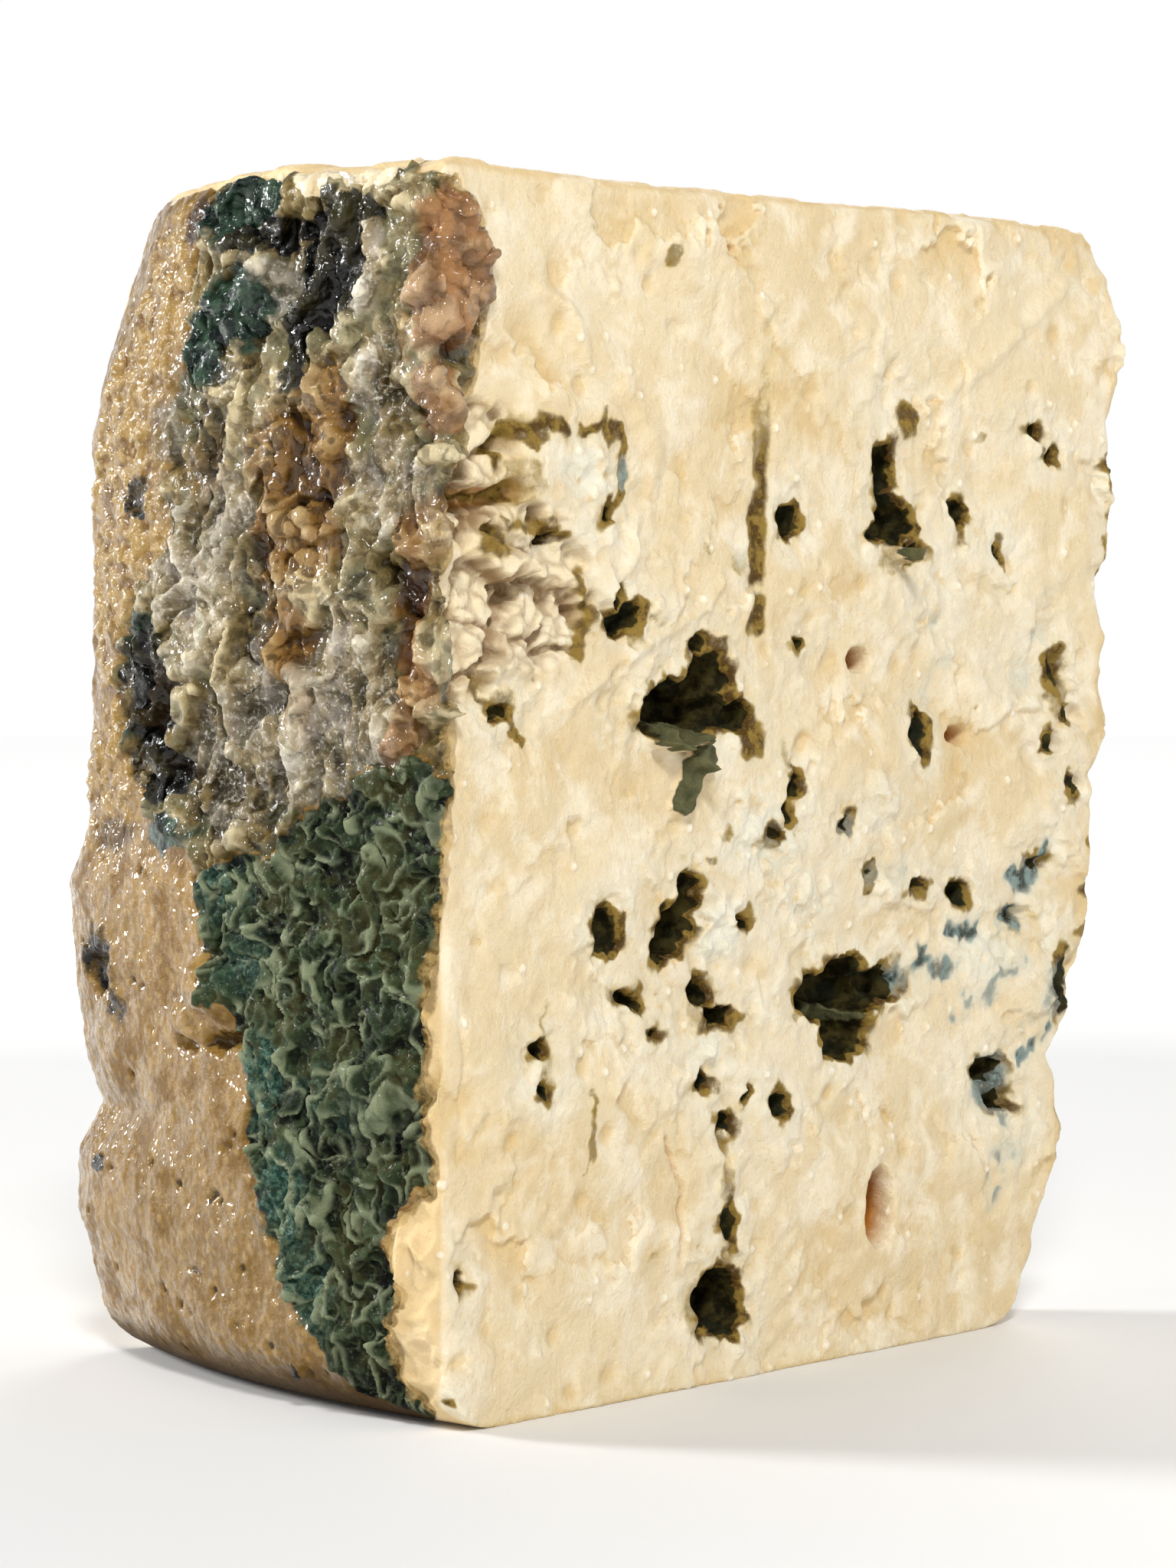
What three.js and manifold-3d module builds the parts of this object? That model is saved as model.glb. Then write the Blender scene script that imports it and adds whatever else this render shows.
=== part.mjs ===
// A wedge of blue cheese, cut from a low round wheel and stood on the wheel's flat base.
// Frame: +Z up, the rind faces -X, the thin end points +X, and the two cut faces look
// towards -Y and +Y. The origin is the middle of the footprint, on the surface it stands on.
// All lengths are millimetres.
import * as THREE from 'three';
import { mergeVertices } from 'three/addons/utils/BufferGeometryUtils.js';
import Module from 'manifold-3d';

const { smoothstep } = THREE.MathUtils;

// The wheel and the cut
const WHEEL_RADIUS = 97;
const WHEEL_HEIGHT = 100;
const CHORD = 56.5;              // width across the rind, cut edge to cut edge
const FACE_ANGLE = 16;           // degrees between each cut face and the middle plane
const FACE_LENGTH_TOP = 98.5;    // cut face, from the rind to the thin end
const FACE_LENGTH_BASE = 82.5;
const RIM_RADIUS_TOP = 3;        // rounding of the wheel's own rims
const RIM_RADIUS_BASE = 7;
const RIM_LEAN_BACK = 6.5;       // the upper rim stands this much further in at the +Y cut
const LEAN_STARTS = 78;          // heights between which that lean grows
const LEAN_ENDS = 104;
const CUT_EDGE_RADIUS = 1.2;     // rounding where a cut face meets another face
const END_RADIUS_TOP = 4;        // the thin end's corners, worn round
const END_RADIUS_BASE = 6;

// Slow swells of the paste
const FACE_SWELL = 0.45;
const SWELL_ALONG = 0.11;        // radians of the swell's wave for each millimetre
const SWELL_UP = 0.09;
const SWELL_START = 0.6;
const SWELL_FADE = 8;            // the swell fades out this far from the middle plane
const TOP_RISE_END = 1.2;        // the top climbs this much towards the thin end
const END_RISE_FROM_X = -20;
const END_RISE_TO_X = 25;
const TOP_RISE_BACK = 1.6;       // and this much from the -Y cut to the middle
const BACK_RISE_WIDTH = 24;
const BACK_RISE_LENGTH = 30;
const RISE_BEGINS_AT = 60;       // both rises fade in from this height to the top

// Lumps on the walls of a vein opening
const VEIN_LUMP = 0.12;
const VEIN_LUMPS_ALONG = 3;
const VEIN_LUMPS_UP = 4;
const VEIN_SIDES = 12;
const VEIN_RINGS = 8;

// Mesh divisions along the wedge, across it and up it, drawn together near the edges
const ALONG = 18;
const ACROSS = 10;
const UP = 20;
const EDGE_CROWDING = 0.75;
const BULGE_DEPTH = 30;          // the rind's curve fades out this far in

const SAGITTA = WHEEL_RADIUS - Math.sqrt(WHEEL_RADIUS ** 2 - (CHORD / 2) ** 2);
const COS_FACE = Math.cos(THREE.MathUtils.degToRad(FACE_ANGLE));
const SIN_FACE = Math.sin(THREE.MathUtils.degToRad(FACE_ANGLE));
const LENGTH = SAGITTA + endReach(WHEEL_HEIGHT - END_RADIUS_TOP);
const RIND_EDGE_X = SAGITTA - LENGTH / 2;    // where both cut faces meet the rind

// Openings of the mould veins: [along the face from the rind, height, width, height, depth]
const FRONT_VEINS = [
  [35, 57.5, 9, 9, 6],
  [55, 31, 9, 8, 6],
  [61, 74, 7, 9, 6],
  [36, 8, 7, 7.5, 5],
  [30, 39.5, 6, 6.5, 5],
  [59, 12.5, 5, 7.5, 4],
  [21, 39, 4, 4.5, 4],
  [23, 64.5, 4.5, 3, 3],
  [46.5, 73, 3.5, 3.5, 3],
  [56, 61, 3.5, 2.5, 4],
  [43.5, 23.5, 4, 4, 4],
  [65, 54.5, 4, 4, 3],
];
const BACK_VEINS = [
  [30, 66, 8, 6, 5],
  [52, 45, 8, 9, 6],
  [24, 28, 5, 6, 4],
  [66, 70, 6, 5, 4],
  [44, 82, 4, 5, 4],
  [70, 24, 5, 4, 4],
];

// Draws evenly spaced divisions together at both ends of 0..1.
function crowd(t) {
  const eased = (1 - Math.cos(Math.PI * t)) / 2;
  return THREE.MathUtils.lerp(t, eased, EDGE_CROWDING);
}

// Rounds the corner of a square section, given a point's distances from the two faces.
function roundCorner(fromA, fromB, radius) {
  if (fromA >= radius || fromB >= radius) return [fromA, fromB];
  const a = radius - fromA;
  const b = radius - fromB;
  const reach = Math.max(a, b) / Math.hypot(a, b);
  return [radius - a * reach, radius - b * reach];
}

// Distance of the thin end from the rind edge, at a height: it leans out as it rises.
function endReach(height) {
  const rise = height / WHEEL_HEIGHT;
  return THREE.MathUtils.lerp(FACE_LENGTH_BASE, FACE_LENGTH_TOP, rise) * COS_FACE;
}

function halfWidth(fromRindEdge) {
  return CHORD / 2 - fromRindEdge * SIN_FACE / COS_FACE;
}

// Wears the wedge's edges round. A point is its distances from the rind, from the nearer
// cut face and from the base.
function wearEdges(fromRind, fromCut, height) {
  const reach = endReach(height);
  let down = WHEEL_HEIGHT - height;
  [fromRind, down] = roundCorner(fromRind, down, RIM_RADIUS_TOP);
  [fromRind, height] = roundCorner(fromRind, WHEEL_HEIGHT - down, RIM_RADIUS_BASE);
  let fromEnd = reach - fromRind;
  [fromEnd, height] = roundCorner(fromEnd, height, END_RADIUS_BASE);
  [fromEnd, down] = roundCorner(fromEnd, WHEEL_HEIGHT - height, END_RADIUS_TOP);
  height = WHEEL_HEIGHT - down;
  [fromCut, fromEnd] = roundCorner(fromCut, fromEnd, CUT_EDGE_RADIUS);
  fromRind = reach - fromEnd;
  [fromCut, fromRind] = roundCorner(fromCut, fromRind, CUT_EDGE_RADIUS);
  [fromCut, down] = roundCorner(fromCut, down, CUT_EDGE_RADIUS);
  return [fromRind, fromCut, WHEEL_HEIGHT - down];
}

// Places one point of the unit box: along and up run 0..1, across runs -1..1.
function placePoint(along, across, up) {
  const flatHeight = up * WHEEL_HEIGHT;
  const flatFromRind = along * endReach(flatHeight);
  const flatFromCut = halfWidth(flatFromRind) * (1 - Math.abs(across));
  const [fromRind, fromCut, height] = wearEdges(flatFromRind, flatFromCut, flatHeight);
  const width = halfWidth(fromRind) - fromCut;
  const nearRind = Math.max(0, 1 - fromRind / BULGE_DEPTH);
  const bulge = SAGITTA * (1 - (width / (CHORD / 2)) ** 2) * nearRind;
  const side = Math.sign(across);
  const lean = RIM_LEAN_BACK * (across + 1) / 2 * nearRind * smoothstep(height, LEAN_STARTS, LEAN_ENDS);
  const x = RIND_EDGE_X + fromRind - bulge + lean;
  return swell(new THREE.Vector3(x, side * width, height), side);
}

// Slow swells: the cut faces wave a little and the top rises; the base stays flat.
function swell(point, side) {
  const { x, y, z } = point;
  const faceWave = Math.sin(x * SWELL_ALONG + side) * Math.sin(z * SWELL_UP + SWELL_START);
  const nearCut = Math.min(1, Math.abs(y) / SWELL_FADE);
  point.y += side * nearCut * FACE_SWELL * faceWave;
  const towardsEnd = TOP_RISE_END * smoothstep(x, END_RISE_FROM_X, END_RISE_TO_X);
  const towardsBack = TOP_RISE_BACK * smoothstep(y, -BACK_RISE_WIDTH, 0) * smoothstep(-x, 0, BACK_RISE_LENGTH);
  point.z += (towardsEnd + towardsBack) * smoothstep(z, RISE_BEGINS_AT, WHEEL_HEIGHT);
  return point;
}

// The wedge as it left the knife, before its vein openings.
function wedgeGeometry() {
  const geometry = new THREE.BoxGeometry(1, 2, 1, ALONG, ACROSS, UP);
  const position = geometry.getAttribute('position');
  for (let i = 0; i < position.count; i += 1) {
    const along = crowd(position.getX(i) + 0.5);
    const across = 2 * crowd((position.getY(i) + 1) / 2) - 1;
    const up = crowd(position.getZ(i) + 0.5);
    const placed = placePoint(along, across, up);
    position.setXYZ(i, placed.x, placed.y, placed.z);
  }
  return geometry;
}

// One vein opening: a lumpy pocket centred on a cut face. side is -1 in front and 1 behind.
function veinGeometry([along, height, wide, tall, deep], side) {
  const geometry = new THREE.SphereGeometry(1, VEIN_SIDES, VEIN_RINGS);
  const position = geometry.getAttribute('position');
  const point = new THREE.Vector3();
  for (let i = 0; i < position.count; i += 1) {
    point.fromBufferAttribute(position, i);
    const lump = Math.sin(VEIN_LUMPS_ALONG * point.x + along) * Math.cos(VEIN_LUMPS_UP * point.z + height);
    point.multiplyScalar(1 + VEIN_LUMP * lump);
    position.setXYZ(i, point.x * wide / 2, point.y * deep, point.z * tall / 2);
  }
  const fromRind = along * COS_FACE;
  geometry.rotateZ(-side * THREE.MathUtils.degToRad(FACE_ANGLE));
  geometry.translate(RIND_EDGE_X + fromRind, side * halfWidth(fromRind), height);
  return geometry;
}

function toSolid(wasm, geometry) {
  const bare = geometry.clone();
  bare.deleteAttribute('normal');
  bare.deleteAttribute('uv');
  const merged = mergeVertices(bare, 1e-4);
  const vertProperties = new Float32Array(merged.getAttribute('position').array);
  const triVerts = new Uint32Array(merged.getIndex().array);
  return new wasm.Manifold(new wasm.Mesh({ numProp: 3, vertProperties, triVerts }));
}

function toGeometry(solid) {
  const mesh = solid.getMesh();
  const geometry = new THREE.BufferGeometry();
  geometry.setAttribute('position', new THREE.BufferAttribute(mesh.vertProperties, 3));
  geometry.setIndex(new THREE.BufferAttribute(mesh.triVerts, 1));
  geometry.computeVertexNormals();
  return geometry;
}

function cutVeins(wasm, body, veins, side) {
  let result = body;
  for (const vein of veins) {
    result = result.subtract(toSolid(wasm, veinGeometry(vein, side)));
  }
  return result;
}

const wasm = await Module();
wasm.setup();

let body = toSolid(wasm, wedgeGeometry());
body = cutVeins(wasm, body, FRONT_VEINS, -1);
body = cutVeins(wasm, body, BACK_VEINS, 1);

const paste = new THREE.MeshStandardMaterial({ color: 0xeadcb8, roughness: 0.5, metalness: 0 });
const wedge = new THREE.Mesh(toGeometry(body), paste);
wedge.name = 'cheese_wedge';

const part = new THREE.Group();
part.add(wedge);

export default part;
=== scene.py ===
import math
from functools import partial

import bpy
import numpy as np
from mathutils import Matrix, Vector


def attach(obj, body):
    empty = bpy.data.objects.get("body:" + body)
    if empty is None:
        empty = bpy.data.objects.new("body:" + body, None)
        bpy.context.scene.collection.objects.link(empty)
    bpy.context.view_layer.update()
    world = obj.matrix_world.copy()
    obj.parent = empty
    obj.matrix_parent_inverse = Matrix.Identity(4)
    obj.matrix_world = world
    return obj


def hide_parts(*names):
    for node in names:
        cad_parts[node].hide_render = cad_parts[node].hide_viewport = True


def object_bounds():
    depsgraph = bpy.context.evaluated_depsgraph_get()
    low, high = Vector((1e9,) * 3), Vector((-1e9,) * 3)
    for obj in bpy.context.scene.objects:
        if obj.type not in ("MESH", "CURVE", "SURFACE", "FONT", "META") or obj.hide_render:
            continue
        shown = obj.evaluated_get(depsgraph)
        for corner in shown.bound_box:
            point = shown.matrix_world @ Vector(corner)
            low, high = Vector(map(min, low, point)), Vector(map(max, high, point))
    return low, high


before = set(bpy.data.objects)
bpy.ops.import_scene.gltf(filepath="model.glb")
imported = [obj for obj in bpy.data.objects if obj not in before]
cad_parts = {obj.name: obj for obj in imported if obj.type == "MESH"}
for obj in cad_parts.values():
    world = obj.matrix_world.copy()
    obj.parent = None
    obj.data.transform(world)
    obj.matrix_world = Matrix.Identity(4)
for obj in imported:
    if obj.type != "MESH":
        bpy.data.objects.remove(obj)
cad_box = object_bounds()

# ---------------------------------------------------------------------------------------
# Camera and studio. The camera looks at the upright edge between rind and cut face, from
# just above half height. The floor is a plain pale sheet, lit by large soft lamps.

MM = 0.001
CROWN_DEPTH = 4.205 * MM          # how far the rind's middle stands out past the upright edges
HALF_CHORD = 28.25 * MM           # half the width of the rind, straight across
CAMERA_TURN = math.radians(-34.7)
CAMERA_TILT = math.radians(1.41)
CAMERA_HEIGHT = 59.6 * MM
CAMERA_AWAY = 342 * MM
EDGE_OFFSET = 11.5 * MM
CAMERA_LENS = 101
SENSOR_WIDTH = 36
NEAREST_SEEN = 10 * MM

across_view = Vector((math.cos(CAMERA_TURN), math.sin(CAMERA_TURN), 0))
into_view = Vector((-math.sin(CAMERA_TURN), math.cos(CAMERA_TURN), 0))
near_edge = Vector((cad_box[0][0] + CROWN_DEPTH, -HALF_CHORD, CAMERA_HEIGHT))

camera_data = bpy.data.cameras.new("camera")
camera_data.lens = CAMERA_LENS
camera_data.sensor_width = SENSOR_WIDTH
camera_data.clip_start = NEAREST_SEEN
camera = bpy.data.objects.new("camera", camera_data)
camera.location = near_edge + across_view * EDGE_OFFSET - into_view * CAMERA_AWAY
camera.rotation_euler = (math.radians(90) - CAMERA_TILT, 0, CAMERA_TURN)
bpy.context.collection.objects.link(camera)
bpy.context.scene.camera = camera


def add_lamp(name, location, target, size, power):
    lamp_data = bpy.data.lights.new(name, "AREA")
    lamp_data.shape = "DISK"
    lamp_data.size = size
    lamp_data.energy = power
    lamp = bpy.data.objects.new(name, lamp_data)
    lamp.location = location
    lamp.rotation_euler = (Vector(target) - Vector(location)).to_track_quat("-Z", "Y").to_euler()
    bpy.context.collection.objects.link(lamp)


FLOOR_RADIUS = 4.0
FLOOR_SIDES = 96
PALE_GREY = (0.86, 0.855, 0.845, 1)
WHITE = (1, 1, 1, 1)
bpy.ops.mesh.primitive_circle_add(vertices=FLOOR_SIDES, radius=FLOOR_RADIUS, fill_type="NGON")
floor = bpy.context.object
floor.name = "floor"
floor_finish = bpy.data.materials.new("pale_floor")
floor_finish.use_nodes = True
floor_shader = floor_finish.node_tree.nodes["Principled BSDF"]
floor_shader.inputs["Base Color"].default_value = PALE_GREY
floor_shader.inputs["Roughness"].default_value = 0.75

# The far part of the floor is lit from below, as a light table is, so it meets the white room
# unseen. The glow grows between two distances, in metres, to its full strength.
GLOW_FROM = 0.3
GLOW_TO = 0.75
GLOW = 0.75
floor_nodes = floor_finish.node_tree
floor_place = floor_nodes.nodes.new("ShaderNodeTexCoord")
floor_reach = floor_nodes.nodes.new("ShaderNodeVectorMath")
floor_reach.operation = "LENGTH"
floor_glow = floor_nodes.nodes.new("ShaderNodeMapRange")
floor_glow.inputs["From Min"].default_value = GLOW_FROM
floor_glow.inputs["From Max"].default_value = GLOW_TO
floor_glow.inputs["To Max"].default_value = GLOW
floor_nodes.links.new(floor_place.outputs["Object"], floor_reach.inputs[0])
floor_nodes.links.new(floor_reach.outputs["Value"], floor_glow.inputs["Value"])
floor_nodes.links.new(floor_glow.outputs["Result"], floor_shader.inputs["Emission Strength"])
floor_shader.inputs["Emission Color"].default_value = WHITE
floor.data.materials.append(floor_finish)

middle = Vector((0, 0, 50 * MM))


def stand(across, towards_camera, up):
    """A place in the studio, in metres from the middle of the wedge as the camera sees it."""
    return middle + across_view * across - into_view * towards_camera + Vector((0, 0, up))


add_lamp("key", stand(0.05, 1.04, 0.8), middle, 0.25, 11)
add_lamp("right_fill", stand(1.2, 0.6, 0.3), middle, 0.9, 1.8)
add_lamp("left_glint", stand(-1.1, -0.25, 0.45), middle, 0.34, 12.5)
add_lamp("back_fill", stand(0.3, -1.1, 0.7), middle, 0.7, 5)

# The room: white near the horizon, and dimmer overhead so that relief keeps its shading.
WHITE_UP_TO = 0.17
DIM_FROM = 0.34
DIM = 0.18
world = bpy.data.worlds.new("studio")
world.use_nodes = True
room = world.node_tree
background = room.nodes["Background"]
direction = room.nodes.new("ShaderNodeTexCoord")
split_direction = room.nodes.new("ShaderNodeSeparateXYZ")
overhead = room.nodes.new("ShaderNodeMapRange")
overhead.inputs["From Min"].default_value = WHITE_UP_TO
overhead.inputs["From Max"].default_value = DIM_FROM
overhead.inputs["To Min"].default_value = 1.0
overhead.inputs["To Max"].default_value = DIM
room.links.new(direction.outputs["Generated"], split_direction.inputs[0])
room.links.new(split_direction.outputs["Z"], overhead.inputs["Value"])
room.links.new(overhead.outputs["Result"], background.inputs["Strength"])
background.inputs["Color"].default_value = WHITE
bpy.context.scene.world = world
bpy.context.scene.view_settings.view_transform = "Standard"

# ---------------------------------------------------------------------------------------
# The wedge. One piece of blue cheese, cut from a low round wheel and stood on the wheel's
# flat face: ivory paste, open mould veins, and a tan rind that moulds and wrinkles where
# it was wrapped. Lengths from here on are millimetres until the mesh is made.

WHEEL_RADIUS = 97.0
WHEEL_HEIGHT = 100.0
HALF_WIDTH = HALF_CHORD / MM
SAGITTA = WHEEL_RADIUS - math.sqrt(WHEEL_RADIUS ** 2 - HALF_WIDTH ** 2)
FACE_ANGLE = math.radians(16)
COS_FACE = math.cos(FACE_ANGLE)
SIN_FACE = math.sin(FACE_ANGLE)
REACH_BASE = 82.5 * COS_FACE      # the cut faces are this long at the base and at the top
REACH_TOP = 98.5 * COS_FACE
RIM_RADIUS_TOP = 3.0
RIM_RADIUS_BASE = 7.0
END_RADIUS_TOP = 4.0
END_RADIUS_BASE = 6.0
CUT_EDGE_RADIUS = 1.2
RIM_LEAN_BACK = 6.5               # the upper rim leans in towards the back cut
LEAN_STARTS = 78
LEAN_ENDS = 104
END_RISE = 1.2                    # the top rises towards the end, and behind the rind
BACK_RISE = 1.6
RISE_BEGINS_AT = 60
BULGE_DEPTH = 30.0
RIND_X = cad_box[0][0] / MM + SAGITTA
WHEEL_X = RIND_X - SAGITTA + WHEEL_RADIUS
COARSE_CELL = 0.35    # spacing of the points that are carved
FINE_CELL = 0.24     # and of the finished skin


def step(value, low, high):
    """Smooth 0..1 rise from low to high; high may be the smaller of the two."""
    t = np.clip((value - low) / (high - low), 0, 1)
    return t * t * (3 - 2 * t)


def box_skin(counts):
    """Lattice points and outward quads of the skin of a box of unit cells."""
    quads = []
    for axis in range(3):
        a, b = (axis + 1) % 3, (axis + 2) % 3
        cell_a, cell_b = np.meshgrid(np.arange(counts[a]), np.arange(counts[b]), indexing="ij")
        for end in (0, counts[axis]):
            corners = []
            for step_a, step_b in ((0, 0), (1, 0), (1, 1), (0, 1)):
                corner = np.empty(cell_a.shape + (3,), int)
                corner[..., axis] = end
                corner[..., a] = cell_a + step_a
                corner[..., b] = cell_b + step_b
                corners.append(corner.reshape(-1, 3))
            if end == 0:
                corners.reverse()
            quads.append(np.stack(corners, axis=1))
    quads = np.concatenate(quads)
    flat = quads.reshape(-1, 3)
    most = max(counts) + 1
    key = (flat[:, 0] * most + flat[:, 1]) * most + flat[:, 2]
    _, first, inverse = np.unique(key, return_index=True, return_inverse=True)
    return flat[first], inverse.reshape(-1, 4)


def end_reach(z):
    return REACH_BASE + (REACH_TOP - REACH_BASE) * z / WHEEL_HEIGHT


def rim_lean(y, z):
    return RIM_LEAN_BACK * (y / HALF_WIDTH + 1) / 2 * step(z, LEAN_STARTS, LEAN_ENDS)


def top_rise(x, y):
    return END_RISE * step(x, -20, 25) + BACK_RISE * step(y, -24, 0) * step(x, 0, -30)


def round_corner(from_a, from_b, radius):
    a = np.maximum(radius - from_a, 0)
    b = np.maximum(radius - from_b, 0)
    inside = (a > 0) & (b > 0)
    reach = np.maximum(a, b) / np.maximum(np.hypot(a, b), 1e-9)
    return np.where(inside, radius - a * reach, from_a), np.where(inside, radius - b * reach, from_b)


def place_on_wedge(lattice, counts):
    """Puts the box's lattice points on the plain wedge, with its edges worn round."""
    along = lattice[:, 0] / counts[0]
    across = lattice[:, 1] / counts[1] * 2 - 1
    z = lattice[:, 2] / counts[2] * WHEEL_HEIGHT
    reach = end_reach(z)
    from_rind = along * reach
    from_cut = (HALF_WIDTH - from_rind * SIN_FACE / COS_FACE) * (1 - np.abs(across))
    from_rind, down = round_corner(from_rind, WHEEL_HEIGHT - z, RIM_RADIUS_TOP)
    from_rind, z = round_corner(from_rind, WHEEL_HEIGHT - down, RIM_RADIUS_BASE)
    from_end, z = round_corner(reach - from_rind, z, END_RADIUS_BASE)
    from_end, down = round_corner(from_end, WHEEL_HEIGHT - z, END_RADIUS_TOP)
    from_cut, from_end = round_corner(from_cut, from_end, CUT_EDGE_RADIUS)
    from_cut, from_rind = round_corner(from_cut, reach - from_end, CUT_EDGE_RADIUS)
    from_cut, down = round_corner(from_cut, down, CUT_EDGE_RADIUS)
    z = WHEEL_HEIGHT - down
    y = np.sign(across) * (HALF_WIDTH - from_rind * SIN_FACE / COS_FACE - from_cut)
    near_rind = np.clip(1 - from_rind / BULGE_DEPTH, 0, 1)
    bulge = SAGITTA * (1 - (y / HALF_WIDTH) ** 2) * near_rind
    x = RIND_X + from_rind - bulge + rim_lean(y, z) * near_rind
    z = z + top_rise(x, y) * step(z, RISE_BEGINS_AT, WHEEL_HEIGHT)
    return np.stack([x, y, z], axis=1)


def locate(points):
    """Where points are on the wedge: along or round each face, and how deep under each."""
    x, y, z = points.T
    at = {"z": z}
    for name, side in (("front", -1), ("back", 1)):
        inward = -side * y + HALF_WIDTH
        at["along_" + name] = (x - RIND_X) * COS_FACE + inward * SIN_FACE
        at["in_" + name] = inward * COS_FACE - (x - RIND_X) * SIN_FACE
    turn = np.arctan2(y, WHEEL_X - x)
    at["round"] = (turn + math.asin(HALF_WIDTH / WHEEL_RADIUS)) * WHEEL_RADIUS
    at["in_rind"] = WHEEL_RADIUS - np.hypot(x - WHEEL_X, y) - rim_lean(y, z)
    at["in_top"] = WHEEL_HEIGHT + top_rise(x, y) - z
    at["in_base"] = z
    at["in_end"] = end_reach(z) - (x - RIND_X)
    return at


FACES = ("front", "back", "rind", "top", "base", "end")


def share(at, face, soft):
    """How much of a point belongs to a face, 0..1, fading over soft mm at the edges."""
    others = np.min([at["in_" + other] for other in FACES if other != face], axis=0)
    return step(others - at["in_" + face], -soft, soft)


# Noise for everything that grew, crumbled or smeared, with the same result on every run.
dice = np.random.default_rng(7)
SHUFFLE = dice.permutation(256).astype(np.int32)
SLOPES = dice.normal(size=(256, 3))
SLOPES = (SLOPES / np.linalg.norm(SLOPES, axis=1)[:, None]).astype(np.float32)
SPOTS = dice.random((256, 4)).astype(np.float32)


def mixed(cell, seed):
    """A number 0..255 for each cell of a flat or solid lattice."""
    number = SHUFFLE[(cell[:, 0] + seed * 37) & 255]
    for axis in range(1, cell.shape[1]):
        number = SHUFFLE[(number + cell[:, axis]) & 255]
    return number


def waves(points, size, seed=0):
    """Smooth noise, about -1..1, with humps about size mm apart. size may differ by axis."""
    dims = points.shape[1]
    scaled = (points / np.asarray(size)).astype(np.float32)
    cell = np.floor(scaled).astype(np.int32)
    part = scaled - cell
    fade = part * part * part * (part * (part * 6 - 15) + 10)
    total = np.zeros(len(points), np.float32)
    for corner in np.ndindex(*(2,) * dims):
        slope = SLOPES[mixed(cell + np.array(corner, np.int32), seed)]
        weight = np.ones(len(points), np.float32)
        drop = np.zeros(len(points), np.float32)
        for axis, far in enumerate(corner):
            weight *= fade[:, axis] if far else 1 - fade[:, axis]
            drop += slope[:, axis] * (part[:, axis] - far)
        total += weight * drop
    return total * 1.6


def rough(points, size, octaves=4, seed=0, gain=0.5):
    """Noise on several scales together, about -1..1."""
    total, weight, height = 0.0, 1.0, 0.0
    for octave in range(octaves):
        total = total + weight * waves(points, np.asarray(size) / 2 ** octave, seed + octave)
        height += weight
        weight *= gain
    return total / height * 1.4


def folds(points, size, octaves=3, seed=0, sharp=1.0):
    """Crumpled skin, 0..1: thin high crests with hollows between them."""
    total, weight, height = 0.0, 1.0, 0.0
    for octave in range(octaves):
        crest = 1 - np.abs(waves(points, np.asarray(size) / 2 ** octave, seed + octave)) * 1.8
        total = total + weight * np.clip(crest, 0, 1) ** (1 + sharp)
        height += weight
        weight *= 0.5
    return total / height


def crinkles(points, size, seed=0, width=0.2):
    """Thin curled creases like lines on a map, 0..1, about size mm apart."""
    return np.exp(-(waves(points, size, seed) / width) ** 2)


def lumps(points, size, seed=0):
    """Cells like crumbs: distance to the nearest middle and the next, a number and a tilt each."""
    dims = points.shape[1]
    scaled = (points / np.asarray(size)).astype(np.float32)
    cell = np.floor(scaled).astype(np.int32)
    nearest = np.full(len(points), 9.0, np.float32)
    second = np.full(len(points), 9.0, np.float32)
    number = np.zeros(len(points), np.float32)
    tilt = np.zeros(len(points), np.float32)
    for corner in np.ndindex(*(3,) * dims):
        neighbour = cell + np.array(corner, np.int32) - 1
        pick = mixed(neighbour, seed)
        offset = scaled - neighbour - SPOTS[pick, :dims]
        gap = np.sqrt(np.einsum("ij,ij->i", offset, offset))
        closer = gap < nearest
        second = np.where(closer, nearest, np.minimum(second, gap))
        number = np.where(closer, SPOTS[pick, 3], number)
        tilt = np.where(closer, np.einsum("ij,ij->i", offset, SLOPES[pick, :dims]), tilt)
        nearest = np.where(closer, gap, nearest)
    return nearest, second, number, tilt


def sheet(a, b):
    """Two flat coordinates as points for the noise."""
    return np.stack([a, b], axis=1)


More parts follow.
